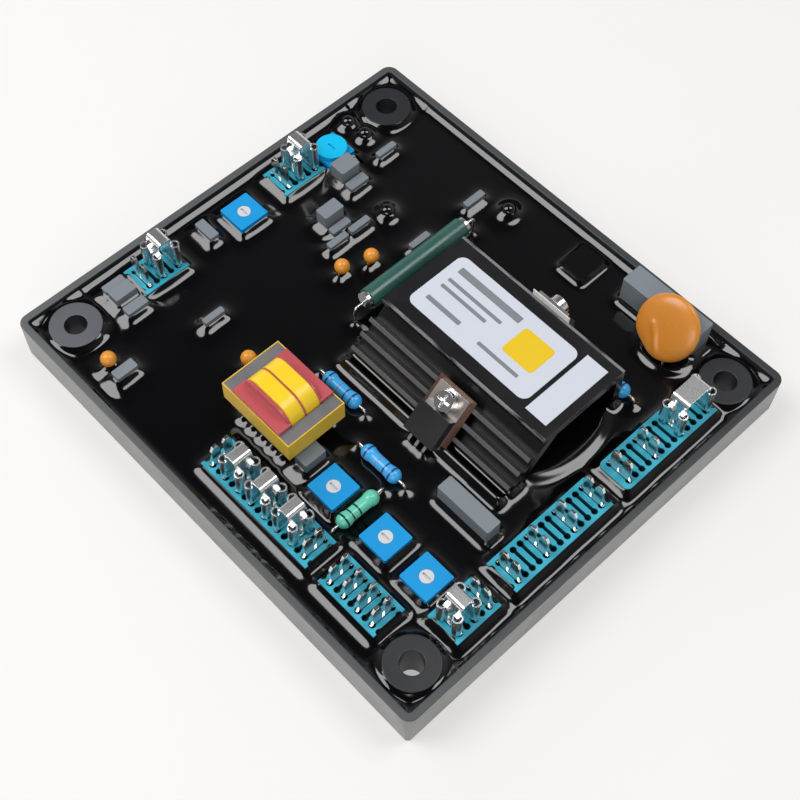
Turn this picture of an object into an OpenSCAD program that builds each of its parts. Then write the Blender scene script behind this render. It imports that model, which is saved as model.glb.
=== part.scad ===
// Automatic voltage regulator: a circuit board potted in a shallow tray, with its
// terminals, trimmers, transformer and finned heat sink standing out of the resin.
// Millimetres, +Z up, +X along the long side, origin under the middle of the tray.

/* [Tray] */
// Length of the tray along X, at the rim
tray_length = 150; // [148:1:170]
// Width of the tray along Y, at the rim
tray_width = 135; // [133:1:155]
// Height of the rim above the underside
tray_height = 14; // [13.5:0.1:18]
// Thickness of the side walls
tray_wall = 2; // [1.2:0.1:2.4]
// Thickness of the floor
tray_floor = 2; // [1.5:0.1:2.5]
// Radius of the outer corners
tray_corner_r = 3; // [2.5:0.1:5]
// Inward slope of each wall from the rim to the underside
tray_draft = 0.5; // [0.1:0.1:0.8]

/* [Mounting bosses] */
// Diameter of a corner boss
boss_d = 14.2; // [11:0.1:16]
// Diameter of the screw hole through a boss
boss_hole_d = 6.2; // [4:0.1:8]
// Distance from the short side to a boss centre
boss_inset_x = 10.7; // [10:0.1:13]
// Distance from the long side to a boss centre
boss_inset_y = 11.3; // [10:0.1:13]
// Distance from the rim down to the boss top
boss_drop = 1.2; // [0.5:0.1:2]
// Diameter of the ledge that carries the board
ledge_d = 19; // [18:0.1:20]
// Height of the ledge above the tray floor
ledge_h = 4.4; // [3:0.1:5]

/* [Board and potting] */
// Thickness of the circuit board
board_t = 1.6; // [1:0.1:2]
// Gap between the board and the tray wall
board_gap = 1.5; // [1:0.1:2.5]
// Gap between the board and a boss
board_boss_gap = 0.4; // [0.2:0.1:0.8]
// Distance from the rim down to the resin
potting_drop = 2.5; // [1.5:0.1:3]

/* [Terminal strips] */
// Width of a strip across its slots
strip_w = 10.2; // [9.4:0.1:10.8]
// Height of a strip above the board
strip_h = 5; // [4.2:0.1:6]
// Distance between two slots
slot_pitch = 2.45; // [2.3:0.01:2.55]
// Width of a slot
slot_w = 1; // [0.9:0.05:1.2]
// Diameter of the round ends of a slot
slot_end_d = 1.8; // [1.4:0.1:2]
// Length of a slot over its round ends
slot_len = 8.2; // [8:0.1:8.6]
// Depth of a slot
slot_depth = 3; // [2:0.1:4]
// Corner radius of a moulded strip end
strip_end_r = 1.6; // [0.5:0.1:2.5]

/* [Tabs] */
// Thickness of the tab sheet
tab_t = 0.8; // [0.6:0.05:0.85]
// Width of the foot of a tab
tab_base_w = 7.8; // [7.2:0.1:7.9]
// Height of the foot above the strip
tab_base_h = 0.6; // [0.2:0.1:1]
// Width of one blade
blade_w = 2.7; // [2:0.1:3]
// Distance between the two blades of a tab
blade_pitch = 3.7; // [3.4:0.1:4]
// Height of the blades above the strip
blade_h = 7.8; // [6.5:0.1:9]
// Size of the bevel at a blade tip
blade_bevel = 0.7; // [0.3:0.1:0.9]

/* [Links] */
// Thickness of the link sheet
link_t = 0.4; // [0.3:0.05:0.5]
// Width of the link sheet across the arch
link_w = 5.4; // [4.8:0.1:6]
// Height of the arch above the strip
link_h = 12; // [10.5:0.1:13]
// Radius of the arch's bends
link_bend_r = 1.2; // [0.7:0.1:1.6]
// Outer diameter of a rolled curl
curl_d = 2.6; // [2.2:0.1:2.8]
// Distance between the two curls of a socket
curl_pitch = 5.2; // [4.8:0.1:5.6]
// Height of the curls' tops above the strip
curl_top = 8.6; // [8:0.1:9.5]
// Gap between a socket and the foot of its tab
link_gap = 0.4; // [0.2:0.1:1]
// Gap between a curl and the tab blade
curl_gap = 0.05; // [0.02:0.01:0.1]

/* [Trimmers] */
// Side of a square trimmer body
trim_size = 9.4; // [8.5:0.1:10]
// Height of a trimmer body above the board
trim_h = 6; // [5:0.1:7]
// Corner radius of a trimmer body
trim_r = 0.4; // [0.2:0.1:1]
// Diameter of a rotor
rotor_d = 3.7; // [3:0.1:4.5]
// Depth of a rotor in its body
rotor_h = 2.4; // [1.5:0.1:3]
// Radial running clearance of a rotor
rotor_clear = 0.05; // [0.02:0.01:0.1]
// Width of the screwdriver slot
driver_w = 0.6; // [0.4:0.1:0.8]
// Length of the screwdriver slot
driver_len = 2.6; // [2:0.1:2.9]
// Depth of the screwdriver slot
driver_depth = 0.5; // [0.3:0.1:0.9]
// Diameter of the wide dial on the second trimmer
dial_d = 9; // [8:0.1:9.2]
// Thickness of the wide dial
dial_t = 1.4; // [1:0.1:2]

/* [Transformer] */
// Length of the core along X
core_x = 24.5; // [23:0.1:26]
// Width of the core along Y
core_y = 17.9; // [16.5:0.1:19]
// Height of the lamination stack
core_h = 6.7; // [5.5:0.1:7.5]
// Width of the outer limbs and yokes
core_limb = 3.4; // [3:0.1:3.8]
// Width of the middle limb
core_middle = 7; // [6:0.1:7.5]
// Height of the stack's underside above the board
core_lift = 9.3; // [9:0.1:11]
// Thickness of the tape round the core
tape_t = 0.3; // [0.2:0.05:0.5]
// Wall of the bobbin tube and flanges
bobbin_wall = 0.8; // [0.6:0.1:1]
// Clearance between bobbin and core
bobbin_clear = 0.1; // [0.05:0.05:0.2]
// Thickness of the plate between the two windings
divider_t = 0.6; // [0.4:0.1:0.8]
// Rise of the flanges above the core
flange_rise = 4; // [3:0.1:4.6]
// Thickness of the shelf over a yoke
shelf_t = 1; // [0.6:0.1:1.5]
// Depth of the pin rail under a yoke
rail_h = 3.2; // [2:0.1:4]
// Rise of the windings above the core
coil_rise = 4.9; // [4:0.1:5.2]
// Corner radius of the windings
coil_r = 5.6; // [4:0.1:6]
// Diameter of a transformer pin
pin_d = 0.9; // [0.6:0.1:1.2]
// Distance between two pins
pin_pitch = 3.8; // [3:0.1:4]
// Pins on each side
pins_per_side = 5; // [3:1:5]

/* [Heat sink] */
// Length of the extrusion along X
sink_length = 57.2; // [50:0.1:60]
// Width of the flat top between its two edges
sink_top_w = 29.6; // [27:0.1:31]
// Height of the flat top above the board
sink_h = 18; // [17:0.1:20]
// Wall thickness of the extrusion
sink_wall = 2.6; // [2:0.1:3]
// Height of the ribs on the front slope
rib_h = 3; // [2:0.1:3.4]
// Thickness of a rib
rib_t = 1.2; // [0.8:0.1:1.5]
// Distance from the top edge to the first rib
rib_first = 6.3; // [5.5:0.1:7]
// Distance from the last rib to the foot of the slope
rib_end = 0.6; // [0.6:0.1:1.5]
// Ribs on the front slope
rib_count = 4; // [2:1:4]
// Thickness of the lip along the top edges
lip_t = 1.6; // [1:0.1:2.2]

/* [Labels] */
// Gap between the two labels
label_gap = 1.3; // [0.5:0.1:3]
// Width of the large label
label_y = 20.6; // [16:0.1:24]
// Corner radius of the large label
label_r = 2.4; // [1:0.1:4]
// Length of the small label
tag_x = 7; // [5:0.1:8]
// Width of the small label
tag_y = 22.6; // [16:0.1:25]
// Distance from the left end of the sink to the large label
label_inset = 4.1; // [2:0.1:6]
// Distance from the right end of the sink to the small label
tag_inset = 2.6; // [1:0.1:4]
// Thickness of the label stock
label_t = 0.15; // [0.1:0.01:0.3]

/* [Power devices] */
// Width of a device
device_w = 10; // [9:0.1:11]
// Length of the metal tab, under the body too
device_tab_len = 15.3; // [14:0.1:15.6]
// Thickness of the metal tab
device_tab_t = 1.3; // [1:0.1:1.6]
// Length of the moulded body
device_body_len = 9; // [8:0.1:9.4]
// Height of the moulded body above the tab
device_body_h = 3.1; // [2.5:0.1:3.4]
// Gap between the lower end of a device and the resin
device_foot_gap = 0.4; // [0.3:0.1:1]
// Height of the leads above the metal tab
device_lead_rise = 0.6; // [0.4:0.1:1]
// Length of the leads along the slope
lead_reach = 2.4; // [2:0.1:3]
// Width of the insulating sheet
insulator_w = 12.6; // [11:0.1:14]
// Length of the insulating sheet
insulator_len = 14.8; // [13:0.1:16]
// How far the insulating sheet stands out above the tab
insulator_rise = 0.7; // [0.3:0.1:1.2]
// Thickness of the insulating sheet
insulator_t = 0.25; // [0.1:0.05:0.4]
// Diameter of the fixing screw
screw_d = 3; // [2.5:0.1:3.5]
// Diameter of the screw head
screw_head_d = 5.6; // [5:0.1:6]
// Length of the screw inside the heat sink
screw_through = 2; // [1:0.1:3]
// Height of the screw head
screw_head_h = 2; // [1.5:0.1:2.5]
// Diameter of the washer
washer_d = 6.2; // [5.8:0.1:6.2]
// Thickness of the washer
washer_t = 0.6; // [0.4:0.1:1]
// Width of a device lead
device_lead_w = 0.8; // [0.6:0.1:1]
// Distance between two device leads
device_lead_pitch = 2.54; // [2.3:0.01:2.7]

/* [Resistors] */
// Gap between the heat sink's rear wall and the resistor behind it
res_wall_gap = 0.3; // [0.1:0.1:1]
// Diameter of the long wirewound resistor
wire_res_d = 6; // [5:0.1:7]
// Length of the long wirewound resistor
wire_res_len = 37; // [30:0.5:38]
// Height of its axis above the board
wire_res_lift = 9.5; // [8.5:0.1:11]
// Length of the steel caps on its ends
wire_cap_len = 1.2; // [0.8:0.1:2]
// Diameter of the steel caps
wire_cap_d = 5.2; // [4:0.1:5.8]
// Length of its leads along the axis
wire_res_out = 3.6; // [3:0.1:4.5]
// Diameter of the waist of a film resistor
res_d = 3.5; // [3:0.1:4]
// Diameter of its rounded ends
res_end_d = 4.2; // [3.6:0.1:4.4]
// Length of a film resistor
res_len = 13.2; // [11:0.1:14]
// Height of its axis above the board
res_lift = 5.2; // [4.8:0.1:6]
// Length of its leads along the axis
res_out = 2.2; // [2:0.1:3]
// How far the resistor under the heat sink stands out at its end
end_overhang = 1.4; // [0.5:0.1:3]
// Diameter of the component leads
lead_d = 0.8; // [0.5:0.1:1]
// Inner radius of a lead's bend
lead_bend = 0.8; // [0.5:0.1:1]

/* [Capacitors] */
// Diameter of the disc suppressor
disc_d = 18.2; // [16:0.1:19]
// Thickness of the disc suppressor
disc_t = 4.2; // [3.5:0.1:4.6]
// Lean of the disc from upright
disc_lean = 36; // [30:1:40]
// Height of the disc's centre above the board
disc_lift = 12.5; // [12:0.1:14]
// Distance between the disc's leads
disc_lead_pitch = 7.5; // [5:0.1:10]
// Length of the large box capacitor
big_cap_x = 25.6; // [22:0.1:26]
// Width of the large box capacitor
big_cap_y = 6.6; // [6:0.1:7]
// Height of the large box capacitor
big_cap_h = 12.8; // [10:0.1:13]
// Length of the front box capacitor
front_cap_x = 17.4; // [15:0.1:18]
// Width of the front box capacitor
front_cap_y = 4.6; // [4:0.1:5.5]
// Height of the front box capacitor
front_cap_h = 9.5; // [8:0.1:11]
// Length of the three capacitors beside the left front strip
left_cap_len = 6.7; // [6:0.1:7]
// Usual gap between two neighbouring parts
part_gap = 1.1; // [0.6:0.1:1.2]
// Gap between the disc and the large capacitor
disc_clear = 0.1; // [0.05:0.05:0.5]
// Diameter of the lead ridge in the disc's coating
ridge_d = 1.8; // [1.2:0.1:2.4]
// Edge radius of the capacitor boxes
cap_r = 0.4; // [0.2:0.05:0.6]
// Diameter of a tantalum bead
bead_d = 4.3; // [3.6:0.1:5]
// Height of a bead's centre above the board
bead_lift = 6.8; // [6:0.1:8]
// Distance between a bead's leads
bead_lead_pitch = 2.2; // [1.8:0.1:2.6]

/* [Small parts] */
// Diameter of a small transistor
can_d = 4.8; // [4:0.1:5.4]
// Height of a small transistor above the board
can_h = 6.2; // [5:0.1:7]
// Length of the driver chip
chip_x = 8; // [7:0.1:9]
// Width of the driver chip
chip_y = 10; // [9:0.1:11]
// Height of the driver chip above the board
chip_h = 4.6; // [4:0.1:5.5]

/* [Hidden] */
$fn = 64;

// Levels
board_bottom = tray_floor + ledge_h;
board_top = board_bottom + board_t;
potting_top = tray_height - potting_drop;
boss_top = tray_height - boss_drop;
strip_top = board_top + strip_h;
tab_foot = strip_top - slot_depth;
link_foot = strip_top + tab_base_h + link_gap;

// Inside of the tray
inner_length = tray_length - 2 * tray_wall;
inner_width = tray_width - 2 * tray_wall;
inner_r = tray_corner_r - tray_wall;
boss_x = tray_length / 2 - boss_inset_x;
boss_y = tray_width / 2 - boss_inset_y;
over = 1;

// Transformer sizes
core_bottom = board_top + core_lift;
core_mid = core_bottom + core_h / 2;
window_y = core_y - 2 * core_limb;
window_span = core_x - 2 * core_limb;
tube_x = core_middle + 2 * (bobbin_clear + bobbin_wall);
tube_z = core_h + 2 * (bobbin_clear + bobbin_wall);
flange_x = window_span - 2 * bobbin_clear;
flange_z = core_h + 2 * flange_rise;
flange_y = window_y / 2 - bobbin_clear;
coil_x = flange_x - 2 * bobbin_clear;
coil_z = core_h + 2 * coil_rise;
coil_len = flange_y - bobbin_wall - divider_t / 2;
rail_bottom = core_bottom - bobbin_clear - rail_h;
pin_y = core_y / 2 - core_limb / 2;

// Heat sink sizes: the front slope falls at 45 degrees to the resin and the rear wall is upright
root2 = sqrt(2);
sink_top = board_top + sink_h;
sink_edge = sink_top_w / 2;
sink_face = sink_edge - rib_h * root2;
foot_z = potting_top - board_top;
foot_y = sink_face + sink_h - foot_z;
slope_len = (sink_h - foot_z) * root2;
rib_step = (slope_len - rib_end - rib_first) / (rib_count - 1);
rib_root = sink_wall / 2;
inner_top_y = sink_face - sink_wall * (root2 - 1);
inner_foot_y = foot_y - sink_wall;
inner_foot_z = sink_h - sink_wall - (inner_foot_y - inner_top_y);

// Power device sizes, measured down the slope: the rear device stands as far above the resin
slope_run = sink_h - foot_z;
rear_rise = slope_len - slope_run;
device_drop = slope_len - device_foot_gap - device_tab_len;
screw_from_top = (device_tab_len - device_body_len) / 2;
insulator_drop = device_drop - insulator_rise;
device_lead_level = insulator_t + device_tab_t + device_lead_rise;
screw_depth = sink_wall + rib_h + screw_through;
screw_len = screw_depth + insulator_t + device_tab_t + washer_t;
lead_run = device_drop + device_tab_len + lead_reach;
lead_foot_y = -sink_edge - (lead_run + device_lead_level + device_lead_w) / root2;
lead_top = sink_top - (lead_run - device_lead_level - device_lead_w) / root2;

// Places are drawn on a tray of 150 by 135 and spread with the tray
function across(x) = tray_length * x / 150;
function along(y) = tray_width * y / 135;
function place(x, y) = [across(x), along(y)];
function strip_len(slots) = (slots + 1) * slot_pitch;

// Row from the front wall to the rear wall: each gap is a share of the free room
res_span = res_len + 2 * res_out + lead_d;
disc_foot = (disc_d - disc_t) / 2 * sin(disc_lean) + disc_t / 2 / cos(disc_lean) + disc_clear + lead_d;
row_fixed = strip_w + res_span + res_end_d - lead_foot_y + sink_edge + slope_run + disc_foot + big_cap_y;
row_room = inner_width - row_fixed;
front_row = -inner_width / 2 + 0.32 * row_room + strip_w / 2;
front_row_edge = front_row + strip_w / 2;
green_y = front_row_edge + 0.02 * row_room + res_span / 2;
blue_y = green_y + res_span / 2 + 0.07 * row_room + res_end_d / 2;
sink_mid_y = blue_y + res_end_d / 2 + 0.37 * row_room - lead_foot_y;
sink_front = sink_mid_y - sink_edge - slope_run;
sink_rear = sink_mid_y + sink_edge;
trimmer_row = front_row_edge + 0.21 * row_room + trim_size / 2;
core_mid_y = front_row_edge + 0.23 * row_room + core_y / 2 + tape_t;
front_cap_mid = sink_front - 0.23 * row_room - front_cap_y / 2;
big_cap_mid = inner_width / 2 - 0.14 * row_room - big_cap_y / 2;

// Row of three strips on the right, between two bosses
side_room = 2 * boss_y - boss_d - strip_len(5) - 2 * strip_len(13);
right_1 = -boss_y + boss_d / 2 + 0.24 * side_room + strip_len(5) / 2;
right_2 = right_1 + strip_len(5) / 2 + 0.33 * side_room + strip_len(13) / 2;
right_3 = right_2 + strip_len(13) + 0.35 * side_room;

// Row on the left: capacitors beside one strip, and the wide dial beside the other
left_1 = along(-29.3);
left_2 = along(20.2);
left_cap_y = left_1 - strip_len(5) / 2 - part_gap - left_cap_len / 2;
dial_y = left_2 + strip_len(5) / 2 + part_gap / 2 + trim_size / 2;

// Terminal strips: centre, turn, slots, slots between tabs, tab numbers that a link joins,
// and whether the first end is a moulded one
strips = [
    [[across(10), front_row], 0, 15, 2, [[1, 2], [3, 4], [5, 6]], false],
    [[across(43.8), front_row], 0, 7, 2, [], false],
    [[across(63.4), right_1], 90, 5, 2, [[0, 1]], false],
    [[across(63.5), right_2], 90, 13, 4, [], false],
    [[across(63.5), right_3], 90, 13, 4, [[2, 3]], true],
    [[across(-64), left_1], 90, 5, 2, [[1, 2]], false],
    [[across(-64), left_2], 90, 5, 2, [[1, 2]], false]
];

// Trimmer centres; the second one carries the wide dial
trimmers = [
    place(-62.2, 0.2),
    [across(-62.2), dial_y],
    [across(18.2), trimmer_row],
    [across(37), trimmer_row],
    [across(51.3), trimmer_row]
];
dial_trimmer = 1;

// Transformer, heat sink and the parts that belong to them
core_at = [across(-5.65), core_mid_y];
core_side = core_x / 2 + tape_t;
sink_left = across(20.1) - sink_length / 2;
device_x = across(22.9);
label_x = sink_length - label_inset - label_gap - tag_x - tag_inset;
label_at = [sink_left + label_inset + label_x / 2, sink_mid_y];
tag_at = [sink_left + sink_length - tag_inset - tag_x / 2, sink_mid_y];
core_rear = core_mid_y + core_y / 2 + tape_t;
blue_at = [
    [across(21.3), blue_y],
    [across(-1.3), (core_rear + sink_front) / 2],
    [sink_left + sink_length - res_len / 2 + end_overhang, sink_rear + res_wall_gap + res_end_d / 2]
];
green_at = [across(26.6), green_y];
wire_res_at = place(-15.4, 21);

// Small film capacitors: centre, size along X and Y, height above the board
film_caps = [
    [place(-45, 16.8), [4.2, 6.7], 9],
    [place(-40.6, 16.4), [2.3, 6.6], 6],
    [place(-37.4, 12.7), [2, 6.8], 6],
    [place(-37.4, 20.7), [2, 7], 6],
    [place(-54, 30.6), [5.3, 6.5], 9],
    [place(-48.9, 30.4), [3, 6.7], 6],
    [place(-51.9, 44.4), [1.9, 6.8], 6],
    [place(-22.1, 29.1), [1.9, 6.9], 6],
    [place(-22.1, 50.2), [2.1, 7], 6],
    [place(-41.3, -28.1), [1.9, 6.6], 6],
    [place(-44, -55.6), [3.1, 6.6], 6],
    [[across(-67.3), left_cap_y], [2.4, left_cap_len], 6],
    [[across(-63.5), left_cap_y], [4.2, left_cap_len], 7],
    [[across(-57.9), left_cap_y], [3, left_cap_len], 6],
    [place(-64.5, -11.2), [7, 3], 6],
    [[core_at[0] + core_side + 1.2, core_mid_y - 3.7], [4.5, 6.8], 8]
];
beads = [place(-29.4, 7.1), place(-26.6, 15.3), place(-48.7, -57), place(-24.2, -30.3)];
cans = [place(-36.4, 30.3), place(-67.8, 44.2), place(-13.6, 55.4), place(-61.2, 44.8)];
chip_at = place(13, 57);

// Disc suppressor, leaning on the large capacitor, and the front capacitor
big_cap_at = [across(40.2), big_cap_mid];
disc_at = [
    across(45.6),
    big_cap_mid - big_cap_y / 2 - disc_clear - disc_t / 2 / cos(disc_lean)
        - (big_cap_h - disc_lift) * tan(disc_lean),
    board_top + disc_lift
];
disc_rim = disc_t / 2;
front_cap_at = [across(45.7), front_cap_mid];

tray_black = "#3a3c3f";
resin_black = "#0b0b0d";
teal = "#1fa3b8";
tin = "#d5d7d8";
trim_blue = "#1d86d6";
box_grey = "#8b9095";

// Rounded rectangle in the plane
module rounded_outline(size, r) {
    square([size[0] - 2 * r, size[1]], center = true);
    square([size[0], size[1] - 2 * r], center = true);
    for (x = [-1, 1], y = [-1, 1])
        translate([x * (size[0] / 2 - r), y * (size[1] / 2 - r)])
            circle(r);
}

module rounded_block(size, r) {
    linear_extrude(size[2])
        rounded_outline([size[0], size[1]], r);
}

// Tray: drafted walls, a floor, and four bosses with ledges for the board
module draft_outline(span) {
    polygon([
        [-span / 2 + tray_draft, 0], [span / 2 - tray_draft, 0],
        [span / 2, tray_height], [-span / 2, tray_height]
    ]);
}

module tray_outside() {
    intersection() {
        rounded_block([tray_length, tray_width, tray_height], tray_corner_r);
        rotate([90, 0, 0])
            linear_extrude(tray_width + over, center = true)
                draft_outline(tray_length);
        rotate([90, 0, 90])
            linear_extrude(tray_length + over, center = true)
                draft_outline(tray_width);
    }
}

module at_bosses() {
    for (x = [-1, 1], y = [-1, 1])
        translate([x * boss_x, y * boss_y, 0])
            children();
}

module boss_post() {
    cylinder(d = boss_d, h = boss_top);
    cylinder(d = ledge_d, h = board_bottom);
}

module tray() {
    color(tray_black)
        difference() {
            union() {
                difference() {
                    tray_outside();
                    translate([0, 0, tray_floor])
                        rounded_block([inner_length, inner_width, tray_height], inner_r);
                }
                at_bosses() boss_post();
            }
            at_bosses()
                translate([0, 0, -over])
                    cylinder(d = boss_hole_d, h = tray_height + 2 * over);
        }
}

// Circuit board with its corners cut round the bosses
module board_corner() {
    reach = boss_d / 2 + board_boss_gap;
    far = boss_inset_x + boss_inset_y;
    circle(reach);
    translate([0, -reach]) square([far, far + reach]);
    translate([-reach, 0]) square([far + reach, far]);
}

module circuit_board() {
    color("#1f5a35")
        translate([0, 0, board_bottom])
            linear_extrude(board_t)
                difference() {
                    square([inner_length - 2 * board_gap, inner_width - 2 * board_gap], center = true);
                    for (x = [0, 1], y = [0, 1])
                        mirror([x, 0]) mirror([0, y])
                            translate([boss_x, boss_y])
                                board_corner();
                }
}

// Potting resin: fills the tray round the board and everything that stands on it
module potting() {
    color(resin_black)
        difference() {
            translate([0, 0, tray_floor])
                rounded_block([inner_length, inner_width, potting_top - tray_floor], inner_r);
            at_bosses() boss_post();
            circuit_board();
            for (i = [0 : len(strips) - 1])
                at_strip(i) strip_block(i);
            for (i = [0 : len(trimmers) - 1])
                at_trimmer(i) trimmer_block();
            sink_bar();
            transformer_pins();
            device_leads();
            wirewound_leads();
            blue_resistors();
            green_resistor();
            resistor_leads();
            disc_suppressor();
            suppressor_leads();
            large_capacitor();
            front_capacitor();
            film_capacitors();
            tantalum_beads();
            small_transistors();
            driver_chip();
        }
}

// Terminal strips, drawn along X and turned to place
function strip_slots(i) = strips[i][2];
function slot_x(i, n) = (n - (strip_slots(i) - 1) / 2) * slot_pitch;
function tab_count(i) = (strip_slots(i) - 1) / strips[i][3] + 1;
function tab_x(i, n) = slot_x(i, n * strips[i][3]);
function strip_end(i) = (strip_slots(i) + 1) / 2 * slot_pitch;
function strip_moulded(i) = strips[i][5];

module at_strip(i) {
    translate([strips[i][0][0], strips[i][0][1], 0])
        rotate([0, 0, strips[i][1]])
            children();
}

module strip_outline(i) {
    difference() {
        translate([-strip_end(i), -strip_w / 2])
            square([2 * strip_end(i), strip_w]);
        if (strip_moulded(i))
            for (y = [0, 1])
                mirror([0, y])
                    translate([-strip_end(i), strip_w / 2 - strip_end_r])
                        difference() {
                            translate([-over, 0]) square(strip_end_r + over);
                            translate([strip_end_r, 0]) circle(strip_end_r);
                        }
    }
}

module strip_block(i) {
    translate([0, 0, board_top])
        linear_extrude(strip_h)
            strip_outline(i);
}

module slot_outline() {
    square([slot_w, slot_len - slot_end_d], center = true);
    for (y = [-1, 1])
        translate([0, y * (slot_len - slot_end_d) / 2])
            circle(d = slot_end_d);
}

// The strip is cut from a longer moulding through a slot, so a cut end keeps half a slot
module terminal_strip(i) {
    first = strip_moulded(i) ? 0 : -1;
    color(teal)
        at_strip(i)
            difference() {
                strip_block(i);
                translate([0, 0, tab_foot])
                    linear_extrude(slot_depth + over)
                        for (n = [first : strip_slots(i)])
                            translate([slot_x(i, n), 0])
                                slot_outline();
            }
}

// A tab is one stamping: a foot in the slot and two bevelled blades
module blade_outline() {
    foot = tab_foot;
    tip = strip_top + blade_h;
    polygon([
        [-blade_w / 2, foot], [blade_w / 2, foot], [blade_w / 2, tip - 2 * blade_bevel],
        [blade_w / 2 - blade_bevel, tip], [-blade_w / 2 + blade_bevel, tip],
        [-blade_w / 2, tip - 2 * blade_bevel]
    ]);
}

module tab_outline() {
    translate([-tab_base_w / 2, tab_foot])
        square([tab_base_w, slot_depth + tab_base_h]);
    for (y = [-1, 1])
        translate([y * blade_pitch / 2, 0])
            blade_outline();
}

module tabs(i) {
    color(tin)
        at_strip(i)
            for (n = [0 : tab_count(i) - 1])
                translate([tab_x(i, n), 0, 0])
                    rotate([90, 0, 90])
                        linear_extrude(tab_t, center = true)
                            tab_outline();
}

// A link is one folded sheet: an arch whose legs end in sockets with rolled curls
module arch_solid(x1, x2, foot, top, r) {
    translate([x1, foot]) square([x2 - x1, top - r - foot]);
    translate([x1 + r, foot]) square([x2 - x1 - 2 * r, top - foot]);
    for (x = [x1 + r, x2 - r])
        translate([x, top - r]) circle(r);
}

module arch_outline(x1, x2) {
    top = strip_top + link_h;
    difference() {
        arch_solid(x1, x2, link_foot, top, link_bend_r);
        arch_solid(x1 + link_t, x2 - link_t, link_foot - over, top - link_t, link_bend_r - link_t);
    }
}

module curl(side) {
    difference() {
        translate([side * (tab_t / 2 + link_t - curl_d / 2), 0])
            difference() {
                circle(d = curl_d);
                circle(d = curl_d - 2 * link_t);
            }
        translate([side > 0 ? -tab_t / 2 - curl_gap : -tab_t / 2, -curl_d])
            square([tab_t + curl_gap, curl_d + blade_reach()]);
    }
}

// Distance from a curl's middle to the outer edge of the blades
function blade_reach() = (blade_pitch + blade_w) / 2 - curl_pitch / 2 + curl_gap;

module link(x1, x2) {
    rotate([90, 0, 0])
        linear_extrude(link_w, center = true)
            arch_outline(x1 + tab_t / 2, x2 - tab_t / 2);
    translate([0, 0, link_foot])
        linear_extrude(strip_top + curl_top - link_foot)
            for (y = [0, 1])
                mirror([0, y])
                    translate([0, curl_pitch / 2]) {
                        translate([x1, 0]) curl(1);
                        translate([x2, 0]) curl(-1);
                    }
}

function link_node(i) = str(len(strips[i][4]) > 1 ? "links_" : "link_", i + 1);

module links(i) {
    color("#e6e7e8")
        at_strip(i)
            for (pair = strips[i][4])
                link(tab_x(i, pair[0]), tab_x(i, pair[1]));
}

// Trimmers: a square body with a bore, and a rotor that turns in it
module at_trimmer(i) {
    translate([trimmers[i][0], trimmers[i][1], board_top])
        children();
}

module trimmer_block() {
    rounded_block([trim_size, trim_size, trim_h], trim_r);
}

module trimmer(i) {
    color(trim_blue)
        at_trimmer(i)
            difference() {
                trimmer_block();
                translate([0, 0, trim_h - rotor_h])
                    cylinder(d = rotor_d + 2 * rotor_clear, h = rotor_h + over);
            }
}

module rotor(i) {
    dial = i == dial_trimmer;
    top = dial ? trim_h + dial_t : trim_h;
    color(dial ? "#16a8e6" : "white")
        at_trimmer(i)
            difference() {
                union() {
                    translate([0, 0, trim_h - rotor_h])
                        cylinder(d = rotor_d, h = top - trim_h + rotor_h);
                    if (dial)
                        translate([0, 0, trim_h])
                            cylinder(d = dial_d, h = dial_t);
                }
                translate([-driver_len / 2, -driver_w / 2, top - driver_depth])
                    cube([driver_len, driver_w, driver_depth + over]);
            }
}

// Transformer: a flat laminated core with its middle limb along Y
module at_core(level) {
    translate([core_at[0], core_at[1], level])
        children();
}

module transformer_core() {
    color("#7d7f80")
        at_core(core_bottom)
            linear_extrude(core_h)
                difference() {
                    square([core_x, core_y], center = true);
                    for (x = [-1, 1])
                        translate([x * (window_span + core_middle) / 4, 0])
                            square([(window_span - core_middle) / 2, window_y], center = true);
                }
}

module transformer_tape() {
    color("#d9a400")
        at_core(core_bottom)
            linear_extrude(core_h)
                difference() {
                    square([core_x + 2 * tape_t, core_y + 2 * tape_t], center = true);
                    square([core_x, core_y], center = true);
                }
}

// Bobbin: a tube round the middle limb, flanges, a divider, shelves and pin rails
module bobbin_plate(y, t) {
    translate([-flange_x / 2, y, -flange_z / 2])
        cube([flange_x, t, flange_z]);
}

module yoke_block(level, h) {
    translate([-flange_x / 2, flange_y - bobbin_wall, level])
        cube([flange_x, core_y / 2 - flange_y + bobbin_wall, h]);
}

module transformer_bobbin() {
    over_core = core_h / 2 + bobbin_clear;
    color("#b3243c")
        at_core(core_mid)
            difference() {
                union() {
                    translate([-tube_x / 2, -flange_y, -tube_z / 2])
                        cube([tube_x, 2 * flange_y, tube_z]);
                    bobbin_plate(-divider_t / 2, divider_t);
                    for (y = [0, 1])
                        mirror([0, y, 0]) {
                            bobbin_plate(flange_y - bobbin_wall, bobbin_wall);
                            yoke_block(over_core, shelf_t);
                            yoke_block(-over_core - rail_h, rail_h);
                        }
                }
                cube([core_middle + 2 * bobbin_clear, core_y, core_h + 2 * bobbin_clear], center = true);
            }
}

// Two taped windings side by side on the bobbin
module transformer_windings() {
    color("#f2c200")
        at_core(core_mid)
            for (y = [0, 1])
                mirror([0, y, 0])
                    translate([0, divider_t / 2 + coil_len, 0])
                        rotate([90, 0, 0])
                            linear_extrude(coil_len)
                                difference() {
                                    rounded_outline([coil_x, coil_z], coil_r);
                                    square([tube_x, tube_z], center = true);
                                }
}

module transformer_pins() {
    color(tin)
        at_core(board_top)
            for (n = [0 : pins_per_side - 1], y = [-1, 1])
                translate([(n - (pins_per_side - 1) / 2) * pin_pitch, y * pin_y, 0])
                    cylinder(d = pin_d, h = rail_bottom - board_top);
}

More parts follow.
